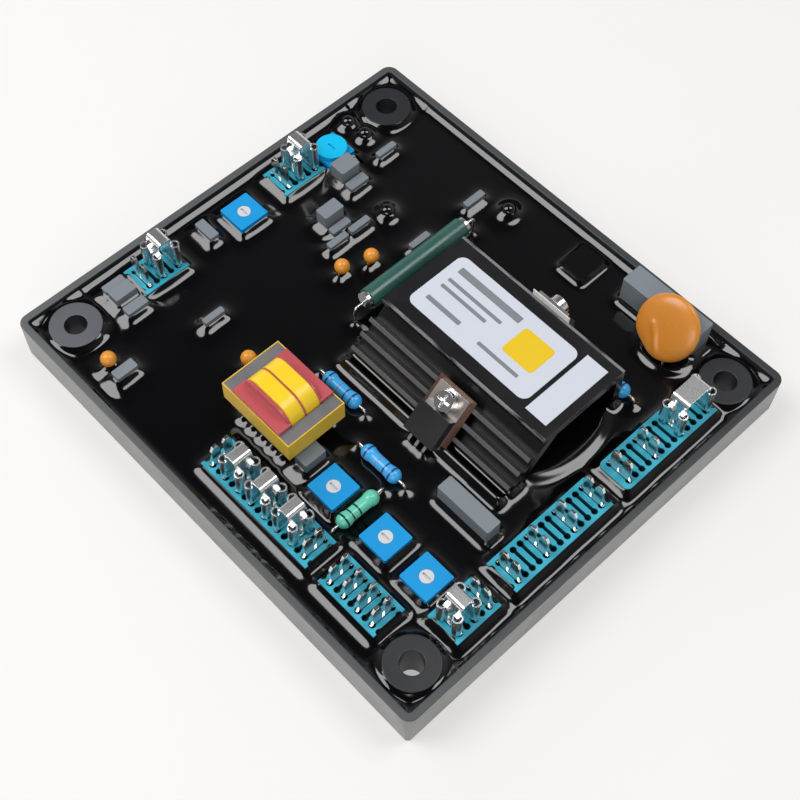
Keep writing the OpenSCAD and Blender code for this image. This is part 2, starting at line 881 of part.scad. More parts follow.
// Heat sink: a trough-shaped extrusion with ribs on its front slope, standing on the board
module sink_section() {
    polygon([
        [-foot_y, 0], [-foot_y, foot_z], [-sink_face, sink_h],
        [sink_edge, sink_h], [sink_edge, 0], [sink_edge - sink_wall, 0],
        [sink_edge - sink_wall, sink_h - sink_wall], [-inner_top_y, sink_h - sink_wall],
        [-inner_foot_y, inner_foot_z], [-inner_foot_y, 0]
    ]);
}

module sink_bar() {
    translate([sink_left, sink_mid_y, board_top])
        rotate([90, 0, 90]) {
            linear_extrude(sink_length)
                sink_section();
            translate([-sink_edge, sink_h - lip_t, 0])
                cube([sink_edge - sink_face + lip_t, lip_t, sink_length]);
            translate([-sink_edge, sink_h, 0])
                rotate(45)
                    for (n = [0 : rib_count - 1])
                        translate([-rib_first - n * rib_step - rib_t / 2, -rib_h - rib_root, 0])
                            cube([rib_t, rib_h + rib_root, sink_length]);
        }
}

module heat_sink() {
    color("#1b1c1e")
        difference() {
            sink_bar();
            on_faces()
                translate([0, -device_drop - screw_from_top, -screw_depth])
                    cylinder(d = screw_d, h = screw_depth + over);
        }
}

module rating_label() {
    color("white")
        translate([label_at[0], label_at[1], sink_top])
            rounded_block([label_x, label_y, label_t], label_r);
}

module serial_label() {
    color("white")
        translate([tag_at[0] - tag_x / 2, tag_at[1] - tag_y / 2, sink_top])
            cube([tag_x, tag_y, label_t]);
}

// Power devices, on the front slope and the rear wall: +Y points up the face and +Z out of it
module on_faces() {
    translate([device_x, sink_mid_y, sink_top]) {
        translate([0, -sink_edge, 0])
            rotate([45, 0, 0])
                children();
        translate([0, sink_edge, rear_rise])
            rotate([90, 0, 180])
                children();
    }
}

module insulators() {
    color("#8d5f4c")
        on_faces()
            difference() {
                translate([-insulator_w / 2, -insulator_drop - insulator_len, 0])
                    cube([insulator_w, insulator_len, insulator_t]);
                device_hole();
            }
}

module device_hole() {
    translate([0, -device_drop - screw_from_top, -over])
        cylinder(d = screw_d, h = insulator_t + device_tab_t + 2 * over);
}

module device_tabs() {
    color("#b9b7b2")
        on_faces()
            difference() {
                translate([-device_w / 2, -device_drop - device_tab_len, insulator_t])
                    cube([device_w, device_tab_len, device_tab_t]);
                device_hole();
            }
}

module device_bodies() {
    color("#1a1a1b")
        on_faces()
            translate([-device_w / 2, -device_drop - device_tab_len, insulator_t + device_tab_t])
                cube([device_w, device_body_len, device_body_h]);
}

// Leads: the front ones run on down the slope and then into the resin, the rear ones go straight down
module device_leads() {
    color(tin)
        for (n = [-1 : 1])
            translate([device_x + n * device_lead_pitch - device_lead_w / 2, sink_mid_y, 0]) {
                translate([0, -sink_edge, sink_top])
                    rotate([45, 0, 0])
                        translate([0, -lead_run, device_lead_level])
                            cube([device_lead_w, lead_reach, device_lead_w]);
                translate([0, lead_foot_y, board_top])
                    cube([device_lead_w, device_lead_w, lead_top - board_top]);
                translate([0, sink_edge + device_lead_level, board_top])
                    cube([device_lead_w, device_lead_w, foot_z + device_foot_gap]);
            }
}

module device_washers() {
    color("#c9cacb")
        on_faces()
            translate([0, -device_drop - screw_from_top, insulator_t + device_tab_t])
                difference() {
                    cylinder(d = washer_d, h = washer_t);
                    translate([0, 0, -over])
                        cylinder(d = screw_d, h = washer_t + 2 * over);
                }
}

module device_screws() {
    seat = insulator_t + device_tab_t + washer_t;
    color("#cfd0d1")
        on_faces()
            translate([0, -device_drop - screw_from_top, seat])
                difference() {
                    union() {
                        cylinder(d = screw_head_d, h = screw_head_h);
                        translate([0, 0, -screw_len])
                            cylinder(d = screw_d, h = screw_len);
                    }
                    for (turn = [0, 90])
                        rotate(turn)
                            translate([-screw_head_d / 3, -driver_w / 2, screw_head_h - driver_depth * 2])
                                cube([screw_head_d * 2 / 3, driver_w, driver_depth * 2 + over]);
                }
}

// A round lead: along +X out of a part, round a bend, and down
module bent_lead(out, drop) {
    r = lead_bend + lead_d / 2;
    rotate([0, 90, 0])
        cylinder(d = lead_d, h = out - r);
    translate([out - r, 0, -r])
        rotate([90, 0, 0])
            rotate_extrude(angle = 90)
                translate([r, 0])
                    circle(d = lead_d);
    translate([out, 0, -drop])
        cylinder(d = lead_d, h = drop - r);
}

module lead_pair(half_len, out, drop) {
    for (turn = [0, 180])
        rotate(turn)
            translate([half_len, 0, 0])
                bent_lead(out, drop);
}

module at_wirewound() {
    translate([wire_res_at[0], wire_res_at[1], board_top + wire_res_lift])
        rotate(90)
            children();
}

module wirewound_resistor() {
    color("#1d5a4a")
        at_wirewound()
            rotate([0, 90, 0])
                cylinder(d = wire_res_d, h = wire_res_len - 2 * wire_cap_len, center = true);
}

// Each lead is welded to the cap on its end of the resistor
module wirewound_leads() {
    color(tin)
        at_wirewound() {
            lead_pair(wire_res_len / 2, wire_res_out, wire_res_lift);
            for (turn = [0, 180])
                rotate(turn)
                    translate([wire_res_len / 2 - wire_cap_len, 0, 0])
                        rotate([0, 90, 0])
                            cylinder(d = wire_cap_d, h = wire_cap_len);
        }
}

// Film resistors: a waist between two rounded ends
module film_resistor() {
    end = res_len / 2 - res_end_d / 2;
    rotate([0, 90, 0]) {
        cylinder(d = res_d, h = 2 * end, center = true);
        for (z = [-end, end])
            translate([0, 0, z])
                sphere(d = res_end_d);
    }
}

module at_blue() {
    for (at = blue_at)
        translate([at[0], at[1], board_top + res_lift])
            children();
}

module at_green() {
    translate([green_at[0], green_at[1], board_top + res_lift])
        rotate(90)
            children();
}

module blue_resistors() {
    color("#3f9fe0")
        at_blue() film_resistor();
}

module green_resistor() {
    color("#6fc9a0")
        at_green() film_resistor();
}

module resistor_leads() {
    color(tin) {
        at_blue() lead_pair(res_len / 2, res_out, res_lift);
        at_green() lead_pair(res_len / 2, res_out, res_lift);
    }
}

// Disc suppressor: a coated disc that leans back on the large capacitor
module at_disc() {
    translate(disc_at)
        rotate([90 - disc_lean, 0, 0])
            children();
}

module disc_suppressor() {
    color("#c8781e")
        at_disc() {
            translate([0, 0, -disc_rim])
                rotate_extrude() {
                    square([disc_d / 2 - disc_rim, disc_t]);
                    translate([disc_d / 2 - disc_rim, disc_rim])
                        circle(disc_rim);
                }
            translate([0, 0, disc_rim - ridge_d / 4])
                rotate([90, 0, 0])
                    cylinder(d = ridge_d, h = disc_d / 2 - disc_rim);
        }
}

module suppressor_leads() {
    drop = disc_d / 2 - disc_rim;
    color(tin)
        difference() {
            for (x = [-1, 1])
                translate([
                    disc_at[0] + x * disc_lead_pitch / 2,
                    disc_at[1] - drop * sin(disc_lean),
                    board_top
                ])
                    cylinder(d = lead_d, h = disc_lift - drop * cos(disc_lean));
            disc_suppressor();
        }
}

module large_capacitor() {
    color(box_grey)
        translate([big_cap_at[0], big_cap_at[1], board_top])
            rounded_block([big_cap_x, big_cap_y, big_cap_h], cap_r);
}

module front_capacitor() {
    color(box_grey)
        translate([front_cap_at[0], front_cap_at[1], board_top])
            rounded_block([front_cap_x, front_cap_y, front_cap_h], cap_r);
}

module film_capacitors() {
    color(box_grey)
        for (cap = film_caps)
            translate([cap[0][0], cap[0][1], board_top])
                rounded_block([cap[1][0], cap[1][1], cap[2]], cap_r);
}

// Tantalum beads stand on their leads
module tantalum_beads() {
    color("#e8902a")
        for (at = beads)
            translate([at[0], at[1], board_top]) {
                translate([0, 0, bead_lift])
                    sphere(d = bead_d);
                for (y = [-1, 1])
                    translate([0, y * bead_lead_pitch / 2, 0])
                        cylinder(d = lead_d, h = bead_lift);
            }
}

// Small transistors: round bodies with a domed top
module small_transistors() {
    color("#121213")
        for (at = cans)
            translate([at[0], at[1], board_top]) {
                cylinder(d = can_d, h = can_h - can_d / 2);
                translate([0, 0, can_h - can_d / 2])
                    sphere(d = can_d);
            }
}

module driver_chip() {
    color("#161617")
        translate([chip_at[0], chip_at[1], board_top])
            rounded_block([chip_x, chip_y, chip_h], cap_r);
}

tray();
circuit_board();
potting();
for (i = [0 : len(strips) - 1]) {
    terminal_strip(i);
    tabs(i);
    links(i);
}
for (i = [0 : len(trimmers) - 1]) {
    trimmer(i);
    rotor(i);
}
transformer_core();
transformer_tape();
transformer_bobbin();
transformer_windings();
transformer_pins();
heat_sink();
rating_label();
serial_label();
insulators();
device_tabs();
device_bodies();
device_leads();
device_washers();
device_screws();
wirewound_resistor();
wirewound_leads();
blue_resistors();
green_resistor();
resistor_leads();
disc_suppressor();
suppressor_leads();
large_capacitor();
front_capacitor();
film_capacitors();
tantalum_beads();
small_transistors();
driver_chip();
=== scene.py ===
# %% [markdown]
# # Automatic voltage regulator
# A generator's voltage regulator is a circuit board potted in a shallow black tray. Terminals, trimmers,
# a transformer and a ribbed heat sink stand out of the glossy resin. The CAD frame gives every solid its
# place; this lesson adds what a CAD solid can't show: wetted resin edges, worn metal, bands and light.

# %% Load the frame
import math

import bpy
import numpy as np
from mathutils import Matrix, Vector, noise
from mathutils.bvhtree import BVHTree


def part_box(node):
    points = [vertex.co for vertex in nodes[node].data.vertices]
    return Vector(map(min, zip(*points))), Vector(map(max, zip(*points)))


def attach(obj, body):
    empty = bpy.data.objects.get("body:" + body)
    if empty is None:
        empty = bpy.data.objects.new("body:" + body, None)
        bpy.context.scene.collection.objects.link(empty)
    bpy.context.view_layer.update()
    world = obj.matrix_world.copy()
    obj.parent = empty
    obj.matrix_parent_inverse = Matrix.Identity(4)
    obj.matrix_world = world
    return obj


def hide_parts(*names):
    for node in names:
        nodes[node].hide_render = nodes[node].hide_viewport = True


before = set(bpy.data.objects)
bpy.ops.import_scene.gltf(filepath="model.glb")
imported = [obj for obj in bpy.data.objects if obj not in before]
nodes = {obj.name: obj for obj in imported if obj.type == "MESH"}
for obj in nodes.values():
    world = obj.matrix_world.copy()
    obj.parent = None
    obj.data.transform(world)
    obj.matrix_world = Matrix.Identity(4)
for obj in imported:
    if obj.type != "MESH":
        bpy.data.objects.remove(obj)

MM = 0.001
ROOT = "regulator"
scene = bpy.context.scene
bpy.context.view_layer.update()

# %% [markdown]
# ## Shared shader groups
# Moulded edges are never razor sharp, plastic has a fine grain, and handling leaves patchy gloss. Each
# could be modelled or painted piece by piece. Every piece here needs two or all three of them, so each is
# one node group with named inputs, which gives only a normal or a value. The shading itself stays in the
# materials.

# %% Soften the edges
FLOAT, VECTOR = "NodeSocketFloat", "NodeSocketVector"


def new_group(name, inputs, outputs):
    """An empty shader group with its sockets, and its nodes of entry and exit."""
    tree = bpy.data.node_groups.new(name, "ShaderNodeTree")
    for label, kind, value in inputs:
        socket = tree.interface.new_socket(name=label, in_out="INPUT", socket_type=kind)
        if value is not None:
            socket.default_value = value
    for label, kind in outputs:
        tree.interface.new_socket(name=label, in_out="OUTPUT", socket_type=kind)
    enter = tree.nodes.new("NodeGroupInput")
    leave = tree.nodes.new("NodeGroupOutput")
    return tree, enter, leave


def soft_edges_group():
    tree, enter, leave = new_group("soft_edges", [("Radius", FLOAT, 0.2 * MM)], [("Normal", VECTOR)])
    bevel = tree.nodes.new("ShaderNodeBevel")
    bevel.samples = 6
    tree.links.new(enter.outputs["Radius"], bevel.inputs["Radius"])
    tree.links.new(bevel.outputs["Normal"], leave.inputs["Normal"])
    return tree


SOFT_EDGES = soft_edges_group()
print("group made:", SOFT_EDGES.name)


# %% Grain the plastic
def grain_group():
    tree, enter, leave = new_group(
        "grain", [("Scale", FLOAT, 900.0), ("Strength", FLOAT, 0.1), ("Normal", VECTOR, None)],
        [("Normal", VECTOR)])
    where = tree.nodes.new("ShaderNodeTexCoord")
    speck = tree.nodes.new("ShaderNodeTexNoise")
    speck.inputs["Detail"].default_value = 3.0
    bump = tree.nodes.new("ShaderNodeBump")
    bump.inputs["Distance"].default_value = 0.2 * MM
    tree.links.new(where.outputs["Object"], speck.inputs["Vector"])
    tree.links.new(enter.outputs["Scale"], speck.inputs["Scale"])
    tree.links.new(speck.outputs["Fac"], bump.inputs["Height"])
    tree.links.new(enter.outputs["Strength"], bump.inputs["Strength"])
    tree.links.new(enter.outputs["Normal"], bump.inputs["Normal"])
    tree.links.new(bump.outputs["Normal"], leave.inputs["Normal"])
    return tree


GRAIN = grain_group()
print("group made:", GRAIN.name)

# %% Make the gloss patchy
CLOUD_LOW, CLOUD_HIGH = 0.35, 0.65


def blotch_group():
    """A value that wanders between Low and High; noise keeps mostly to the middle of its range."""
    tree, enter, leave = new_group(
        "blotch", [("Scale", FLOAT, 60.0), ("Low", FLOAT, 0.3), ("High", FLOAT, 0.5)], [("Value", FLOAT)])
    where = tree.nodes.new("ShaderNodeTexCoord")
    cloud = tree.nodes.new("ShaderNodeTexNoise")
    cloud.inputs["Detail"].default_value = 4.0
    span = tree.nodes.new("ShaderNodeMapRange")
    span.inputs["From Min"].default_value = CLOUD_LOW
    span.inputs["From Max"].default_value = CLOUD_HIGH
    tree.links.new(where.outputs["Object"], cloud.inputs["Vector"])
    tree.links.new(enter.outputs["Scale"], cloud.inputs["Scale"])
    tree.links.new(cloud.outputs["Fac"], span.inputs["Value"])
    tree.links.new(enter.outputs["Low"], span.inputs["To Min"])
    tree.links.new(enter.outputs["High"], span.inputs["To Max"])
    tree.links.new(span.outputs["Result"], leave.inputs["Value"])
    return tree


BLOTCH = blotch_group()
print("group made:", BLOTCH.name)

# %% [markdown]
# ## One recipe for most materials
# Almost every piece is one plain stuff: plastic, metal, lacquer or paper. Each material could be wired by
# hand in the shader editor. One function wires them all alike, with the groups in place, so a material is
# one line of numbers and differs only where the stuff does.


# %% Material recipe
def use_group(tree, group, **values):
    made = tree.nodes.new("ShaderNodeGroup")
    made.node_tree = group
    for label, value in values.items():
        made.inputs[label].default_value = value
    return made


def material(name, color, rough=(0.4, 0.5), metal=0.0, edge=0.15, grain=(900.0, 0.0), patch=60.0, **sockets):
    """A Principled material: edge is in mm, rough a range, grain a scale and a strength, patch a scale."""
    made = bpy.data.materials.new(name)
    made.use_nodes = True
    tree = made.node_tree
    shader = tree.nodes["Principled BSDF"]
    shader.inputs["Base Color"].default_value = (*color, 1.0)
    shader.inputs["Metallic"].default_value = metal
    for label, value in sockets.items():
        shader.inputs[label.replace("_", " ")].default_value = value
    rounded = use_group(tree, SOFT_EDGES, Radius=edge * MM)
    rough_map = use_group(tree, BLOTCH, Scale=patch, Low=rough[0], High=rough[1])
    tree.links.new(rough_map.outputs["Value"], shader.inputs["Roughness"])
    if grain[1] > 0:
        grained = use_group(tree, GRAIN, Scale=grain[0], Strength=grain[1])
        tree.links.new(rounded.outputs["Normal"], grained.inputs["Normal"])
        tree.links.new(grained.outputs["Normal"], shader.inputs["Normal"])
    else:
        tree.links.new(rounded.outputs["Normal"], shader.inputs["Normal"])
    return made


BOARD = material("board", (0.03, 0.14, 0.07))
print("made:", BOARD.name, "with", len(BOARD.node_tree.nodes), "nodes")


# %% Dress the board
def dress(made, *names):
    """Give CAD nodes a material in place of the one they came with."""
    for name in names:
        nodes[name].data.materials.clear()
        nodes[name].data.materials.append(made)


dress(BOARD, "circuit_board")
print("board dressed in:", nodes["circuit_board"].data.materials[0].name)

# %% [markdown]
# ## Masks from the frame
# Wear, painted shade and painted light lie where the form puts them: on a rim, below an edge, at one corner.
# They could be painted on an image. Here each is a mask worked out from the place in the frame, because the
# CAD meshes lie in frame metres, and a mask built from the frame's own boxes stays right when a size
# changes.


# %% Masks and colours
def math_node(tree, operation, *values):
    """A math node whose inputs are numbers or the outputs of other nodes."""
    made = tree.nodes.new("ShaderNodeMath")
    made.operation = operation
    for socket, value in zip(made.inputs, values):
        if isinstance(value, (int, float)):
            socket.default_value = value
        else:
            tree.links.new(value, socket)
    return made.outputs["Value"]


def span_node(tree, value, low, high):
    """How far a value lies from low to high, as a share from 0 to 1."""
    made = tree.nodes.new("ShaderNodeMapRange")
    made.inputs["From Min"].default_value = low
    made.inputs["From Max"].default_value = high
    tree.links.new(value, made.inputs["Value"])
    return made.outputs["Result"]


def frame_place(tree):
    """The x, y and z of the shaded point in the frame, in metres."""
    where = tree.nodes.new("ShaderNodeTexCoord")
    split = tree.nodes.new("ShaderNodeSeparateXYZ")
    tree.links.new(where.outputs["Object"], split.inputs["Vector"])
    return split.outputs["X"], split.outputs["Y"], split.outputs["Z"]


def color_mix(tree, factor, low, high):
    """A mix of two colours, each of them three numbers or the output of another node."""
    mix = tree.nodes.new("ShaderNodeMix")
    mix.data_type = "RGBA"
    for label, color in (("A", low), ("B", high)):
        if isinstance(color, tuple):
            mix.inputs[label].default_value = (*color, 1.0)
        else:
            tree.links.new(color, mix.inputs[label])
    tree.links.new(factor, mix.inputs["Factor"])
    return mix.outputs["Result"]


def paint(made, color):
    """Feed a mixed colour into a material's own shader."""
    made.node_tree.links.new(color, made.node_tree.nodes["Principled BSDF"].inputs["Base Color"])
    return made


# %% [markdown]
# ## Tray
# The tray is a satin black moulding. Its outer sides carry painted light from the floor, and towards the
# left corner its rim and the boss there carry a painted sheen. A noise texture could break these up, but in
# the photo they lie evenly, so masks from the place and from the way a face looks are enough.

# %% Dress the tray
# Painted light: the outer sides are lighter than the black, and the rim and the boss at the left corner
# carry a painted sheen.
TRAY_BLACK, SIDE_PAINTED_LIGHT, BOSS_SHEEN = (0.018, 0.019, 0.022), (0.195, 0.195, 0.193), (0.1, 0.104, 0.118)
RIM_LEFT_SHEEN, RIM_RIGHT = (0.105, 0.11, 0.112), (0.028, 0.029, 0.031)
RIM_SKIN = 0.3 * MM
LEFT_CORNER = -90 * MM
FACES_UP = 0.9


def tray_plastic():
    """Satin black with painted light and sheen; the diagonal, x plus y, runs from the left corner to the
    right one.
    """
    made = material("tray_plastic", TRAY_BLACK, rough=(0.32, 0.42), edge=0.5, grain=(1500.0, 0.06))
    tree = made.node_tree
    lo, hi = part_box("potting")
    x, y, z = frame_place(tree)
    out_x = math_node(tree, "GREATER_THAN", math_node(tree, "ABSOLUTE", x), hi.x + RIM_SKIN)
    out_y = math_node(tree, "GREATER_THAN", math_node(tree, "ABSOLUTE", y), hi.y + RIM_SKIN)
    below_rim = math_node(tree, "LESS_THAN", z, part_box("tray")[1].z - RIM_SKIN)
    side = math_node(tree, "MULTIPLY", math_node(tree, "MAXIMUM", out_x, out_y), below_rim)
    diagonal = math_node(tree, "ADD", x, y)
    # Painted sheen on the rim, strongest at the left corner.
    rim = color_mix(tree, span_node(tree, diagonal, lo.x + lo.y, hi.x + hi.y), RIM_LEFT_SHEEN, RIM_RIGHT)
    facing = tree.nodes.new("ShaderNodeSeparateXYZ")
    tree.links.new(tree.nodes.new("ShaderNodeNewGeometry").outputs["Normal"], facing.inputs["Vector"])
    flat = math_node(tree, "GREATER_THAN", facing.outputs["Z"], FACES_UP)
    at_left = math_node(tree, "LESS_THAN", diagonal, LEFT_CORNER)
    # Painted sheen on the flat faces at the left corner, where the boss stands.
    inner = color_mix(tree, math_node(tree, "MULTIPLY", flat, at_left), TRAY_BLACK, BOSS_SHEEN)
    upper = color_mix(tree, below_rim, rim, inner)
    # Painted light on the outer sides.
    return paint(made, color_mix(tree, side, upper, SIDE_PAINTED_LIGHT))


dress(tray_plastic(), "tray")

# %% [markdown]
# ## Terminals
# The strips are teal plastic with dark slots, the tabs in them tinned brass, and the links over the tabs
# bright tinned sheet. The light alone leaves the slots too pale, so the strips take a second, dark colour
# just below their top. The metals are plain recipes, because their gleam comes from the CAD shapes.


# %% Dress the terminals
def numbered(stem, first, last):
    return [f"{stem}_{i}" for i in range(first, last + 1)]


STRIPS = numbered("terminal_strip", 1, 7)
STRIP_TEAL, STRIP_SHADE = (0.022, 0.36, 0.49), (0.004, 0.05, 0.066)
STRIP_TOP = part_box("terminal_strip_1")[1].z
STRIP_SKIN = 0.3 * MM


def by_height(made, low, high, z):
    """Give a material a second colour below the height z, for sides and slots that sit in shade."""
    tree = made.node_tree
    above = math_node(tree, "GREATER_THAN", frame_place(tree)[2], z)
    return paint(made, color_mix(tree, above, low, high))


strip_plastic = material("strip_plastic", STRIP_TEAL, rough=(0.36, 0.48), edge=0.12)
dress(by_height(strip_plastic, STRIP_SHADE, STRIP_TEAL, STRIP_TOP - STRIP_SKIN), *STRIPS)
dress(material("tinned_brass", (0.74, 0.74, 0.73), rough=(0.14, 0.24), metal=1.0, edge=0.12, patch=400.0),
      *numbered("tabs", 1, 7))
dress(material("link_sheet", (0.92, 0.92, 0.92), rough=(0.27, 0.28), metal=1.0, edge=0.1, patch=300.0),
      "links_1", "link_3", "link_5", "link_6", "link_7")
print("strips:", len(STRIPS), "with their top at", round(STRIP_TOP / MM, 2), "mm")

# %% [markdown]
# ## Trimmers
# Four trimmers are matt blue boxes with a small white rotor, and one has a wide cyan dial. A rotor's slot
# could be drawn on as a dark bar. It is cut in the CAD solid instead, so it turns with the rotor, and the
# looks need no more than plain colours.

# %% Dress the trimmers
TRIMMERS = numbered("trimmer", 1, 5)
dress(material("trimmer_plastic", (0.004, 0.28, 0.64), rough=(0.5, 0.6), edge=0.2, grain=(1200.0, 0.05),
               Specular_IOR_Level=0.25), *TRIMMERS)
dress(material("rotor_plastic", (0.58, 0.6, 0.62), rough=(0.4, 0.5), edge=0.12),
      "rotor_1", "rotor_3", "rotor_4", "rotor_5")
dress(material("dial_plastic", (0.001, 0.46, 0.76), rough=(0.5, 0.6), edge=0.2,
               Specular_IOR_Level=0.2), "rotor_2")
print("trimmers:", len(TRIMMERS))

# %% [markdown]
# ## Transformer
# Yellow polyester tape covers the windings: glossy, with a slightly rippled surface. The bobbin is
# crimson plastic, the core grey varnished steel, and an ochre tape holds the core together. The tape's
# ripples could be modelled, but they are far finer than its rounded shape, so a coarse grain and a thin
# coat do it.

# %% Dress the transformer
BOBBIN_RED, BOBBIN_SHADE = (0.47, 0.078, 0.09), (0.03, 0.008, 0.007)
CORE_LO, CORE_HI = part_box("transformer_core")
BOBBIN = by_height(material("bobbin_plastic", BOBBIN_RED, rough=(0.3, 0.42), edge=0.15),
                   BOBBIN_SHADE, BOBBIN_RED, CORE_LO.z)

dress(material("coil_tape", (0.88, 0.58, 0.012), rough=(0.28, 0.42), edge=0.5, grain=(240.0, 0.3),
               Coat_Weight=0.25, Coat_Roughness=0.2), "transformer_windings")
dress(BOBBIN, "transformer_bobbin")
dress(material("core_steel", (0.175, 0.17, 0.18), rough=(0.34, 0.55), metal=0.3, edge=0.15, patch=200.0,
               grain=(600.0, 0.1)), "transformer_core")
dress(material("core_tape", (0.76, 0.48, 0.03), rough=(0.25, 0.42), edge=0.15, grain=(300.0, 0.12)),
      "transformer_tape")
print("core from", round(CORE_LO.z / MM, 2), "to", round(CORE_HI.z / MM, 2), "mm high")

# %% [markdown]
# ## Heat sink
# The black anodising is worn to bare aluminium along the lips of the flat top. The ribs lower down take a
# painted shade, and their tips on the slope a painted highlight. A wear texture could be painted; here the
# lips and tips are found from the place, as the slope lies at 45 degrees and z less y is the same all over
# it. Noise that is stretched along the lips breaks up the bare metal.

# %% Measure the heat sink
SINK_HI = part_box("heat_sink")[1]
LABEL_LO, LABEL_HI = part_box("rating_label")
SINK_MID = (LABEL_LO.y + LABEL_HI.y) / 2
SINK_TOP_HALF = SINK_HI.y - SINK_MID
print("sink top:", round(2 * SINK_TOP_HALF / MM, 2), "mm wide, at", round(SINK_HI.z / MM, 2), "mm")

# %% Dress the heat sink
# The second colour is painted shade on the ribs, the third a painted highlight on their tips, and the last
# bare metal worn through on the lips.
SINK_BLACK, RIB_SHADE = (0.01, 0.01, 0.011), (0.003, 0.003, 0.0033)
TIP_HIGHLIGHT, BARE_METAL = (0.09, 0.09, 0.093), (0.2, 0.2, 0.205)
WEAR_STRETCH, WEAR_FROM, WEAR_TO = (90.0, 500.0, 500.0), 0.36, 0.54
LIP_WIDTH, LIP_DEPTH, TIP_SKIN, RIBS_BELOW = 0.8 * MM, 0.6 * MM, 0.2 * MM, 2.5 * MM


def worn_patches(tree):
    """A broken mask with patches that are long in x."""
    where = tree.nodes.new("ShaderNodeTexCoord")
    stretch = tree.nodes.new("ShaderNodeMapping")
    stretch.inputs["Scale"].default_value = WEAR_STRETCH
    cloud = tree.nodes.new("ShaderNodeTexNoise")
    cloud.inputs["Scale"].default_value = 1.0
    cloud.inputs["Detail"].default_value = 6.0
    tree.links.new(where.outputs["Object"], stretch.inputs["Vector"])
    tree.links.new(stretch.outputs["Vector"], cloud.inputs["Vector"])
    return span_node(tree, cloud.outputs["Fac"], WEAR_FROM, WEAR_TO)


def worn_sink():
    """Black anodising rubbed bare on the top's lips; painted shade on the ribs, a painted highlight on their
    tips.
    """
    made = material("sink_aluminium", SINK_BLACK, rough=(0.24, 0.36), edge=0.15, grain=(700.0, 0.05))
    tree = made.node_tree
    _, y, z = frame_place(tree)
    side = math_node(tree, "ABSOLUTE", math_node(tree, "SUBTRACT", y, SINK_MID))
    on_lip = math_node(tree, "GREATER_THAN", side, SINK_TOP_HALF - LIP_WIDTH)
    on_top = math_node(tree, "GREATER_THAN", z, SINK_HI.z - LIP_DEPTH)
    lip = math_node(tree, "MULTIPLY", math_node(tree, "MULTIPLY", on_lip, on_top), worn_patches(tree))
    slope_level = SINK_HI.z - (SINK_MID - SINK_TOP_HALF)
    on_slope = math_node(tree, "GREATER_THAN", math_node(tree, "SUBTRACT", z, y), slope_level - TIP_SKIN)
    below = math_node(tree, "LESS_THAN", z, SINK_HI.z - RIBS_BELOW)
    # Painted highlight on the rib tips, and painted shade on the ribs below.
    tip = math_node(tree, "MULTIPLY", on_slope, below)
    flanks = color_mix(tree, below, SINK_BLACK, RIB_SHADE)
    tips = color_mix(tree, tip, flanks, TIP_HIGHLIGHT)
    return paint(made, color_mix(tree, lip, tips, BARE_METAL))


dress(worn_sink(), "heat_sink")
dress(material("label_stock", (0.58, 0.61, 0.68), rough=(0.3, 0.4), edge=0.05),
      "rating_label", "serial_label")
print("heat sink dressed in:", nodes["heat_sink"].data.materials[0].name)

# %% [markdown]
# ## Power devices
# Each device is a black moulded body on a plated tab, under a steel screw. The front one sits on a brown
# sheet of insulator and the rear one on a pale pad. Each sheet could have a material of its own, but both
# are one CAD node, so a mask parts their colours at the middle of the heat sink.

# %% Dress the devices
SHEET_BROWN, PAD_PALE = (0.1, 0.045, 0.03), (0.72, 0.7, 0.68)


def insulator_sheets():
    """A brown sheet under the front device and a pale pad under the rear one."""
    made = material("mica", SHEET_BROWN, rough=(0.25, 0.4), edge=0.05)
    tree = made.node_tree
    rear = math_node(tree, "GREATER_THAN", frame_place(tree)[1], SINK_MID)
    return paint(made, color_mix(tree, rear, SHEET_BROWN, PAD_PALE))


dress(insulator_sheets(), "insulators")
dress(material("device_metal", (0.6, 0.53, 0.5), rough=(0.3, 0.45), metal=1.0, edge=0.1), "device_tabs")
dress(material("device_plastic", (0.012, 0.012, 0.013), rough=(0.35, 0.5), edge=0.2, grain=(1500.0, 0.1)),
      "device_bodies")
dress(material("screw_steel", (0.72, 0.72, 0.72), rough=(0.2, 0.32), metal=1.0, edge=0.25), "device_screws",
      "device_washers")
print("materials so far:", len(bpy.data.materials))

# %% [markdown]
# ## Small components
# Dipped parts are glossy, boxed capacitors are satin grey, the long resistor wears dark green enamel, and
# all leads are tinned wire. Each could have its own wear and print; at this size plain recipes are
# enough. The small transistors and the driver chip look as black and glossy as the resin, so they share
# its material.

# %% Dress the small components
LEADS = ["transformer_pins", "device_leads", "wirewound_leads", "resistor_leads", "suppressor_leads"]
dress(material("lead_wire", (0.6, 0.6, 0.6), rough=(0.2, 0.34), metal=1.0, edge=0.05), *LEADS)
dress(material("enamel", (0.03, 0.1, 0.085), rough=(0.2, 0.32), edge=0.5, patch=120.0), "wirewound_resistor")
DISC_COATING = material("disc_coating", (0.6, 0.22, 0.028), rough=(0.24, 0.34), edge=0.3, grain=(150.0, 0.2))
dress(DISC_COATING, "disc_suppressor")
dress(material("bead_coating", (0.72, 0.28, 0.03), rough=(0.2, 0.3), edge=0.2), "tantalum_beads")
dress(material("capacitor_box", (0.185, 0.21, 0.235), rough=(0.38, 0.5), edge=0.25, grain=(1200.0, 0.08)),
      "large_capacitor", "front_capacitor", "film_capacitors")
RESIN = material("resin", (0.002, 0.002, 0.0025), rough=(0.07, 0.13), edge=0.05, patch=30.0,
                 Specular_IOR_Level=0.65)
dress(RESIN, "small_transistors", "driver_chip", "potting")
print("materials:", len(bpy.data.materials))

# %% [markdown]
# ## Mesh helpers
# The pieces from here on are made by formula, where a solid of flats and plain rounds isn't enough.
# Modifiers or sculpting could shape them too. Points from a formula are the same on each run and follow
# the frame's boxes, so these few functions turn points into pieces and find the separate solids of a CAD
# node.


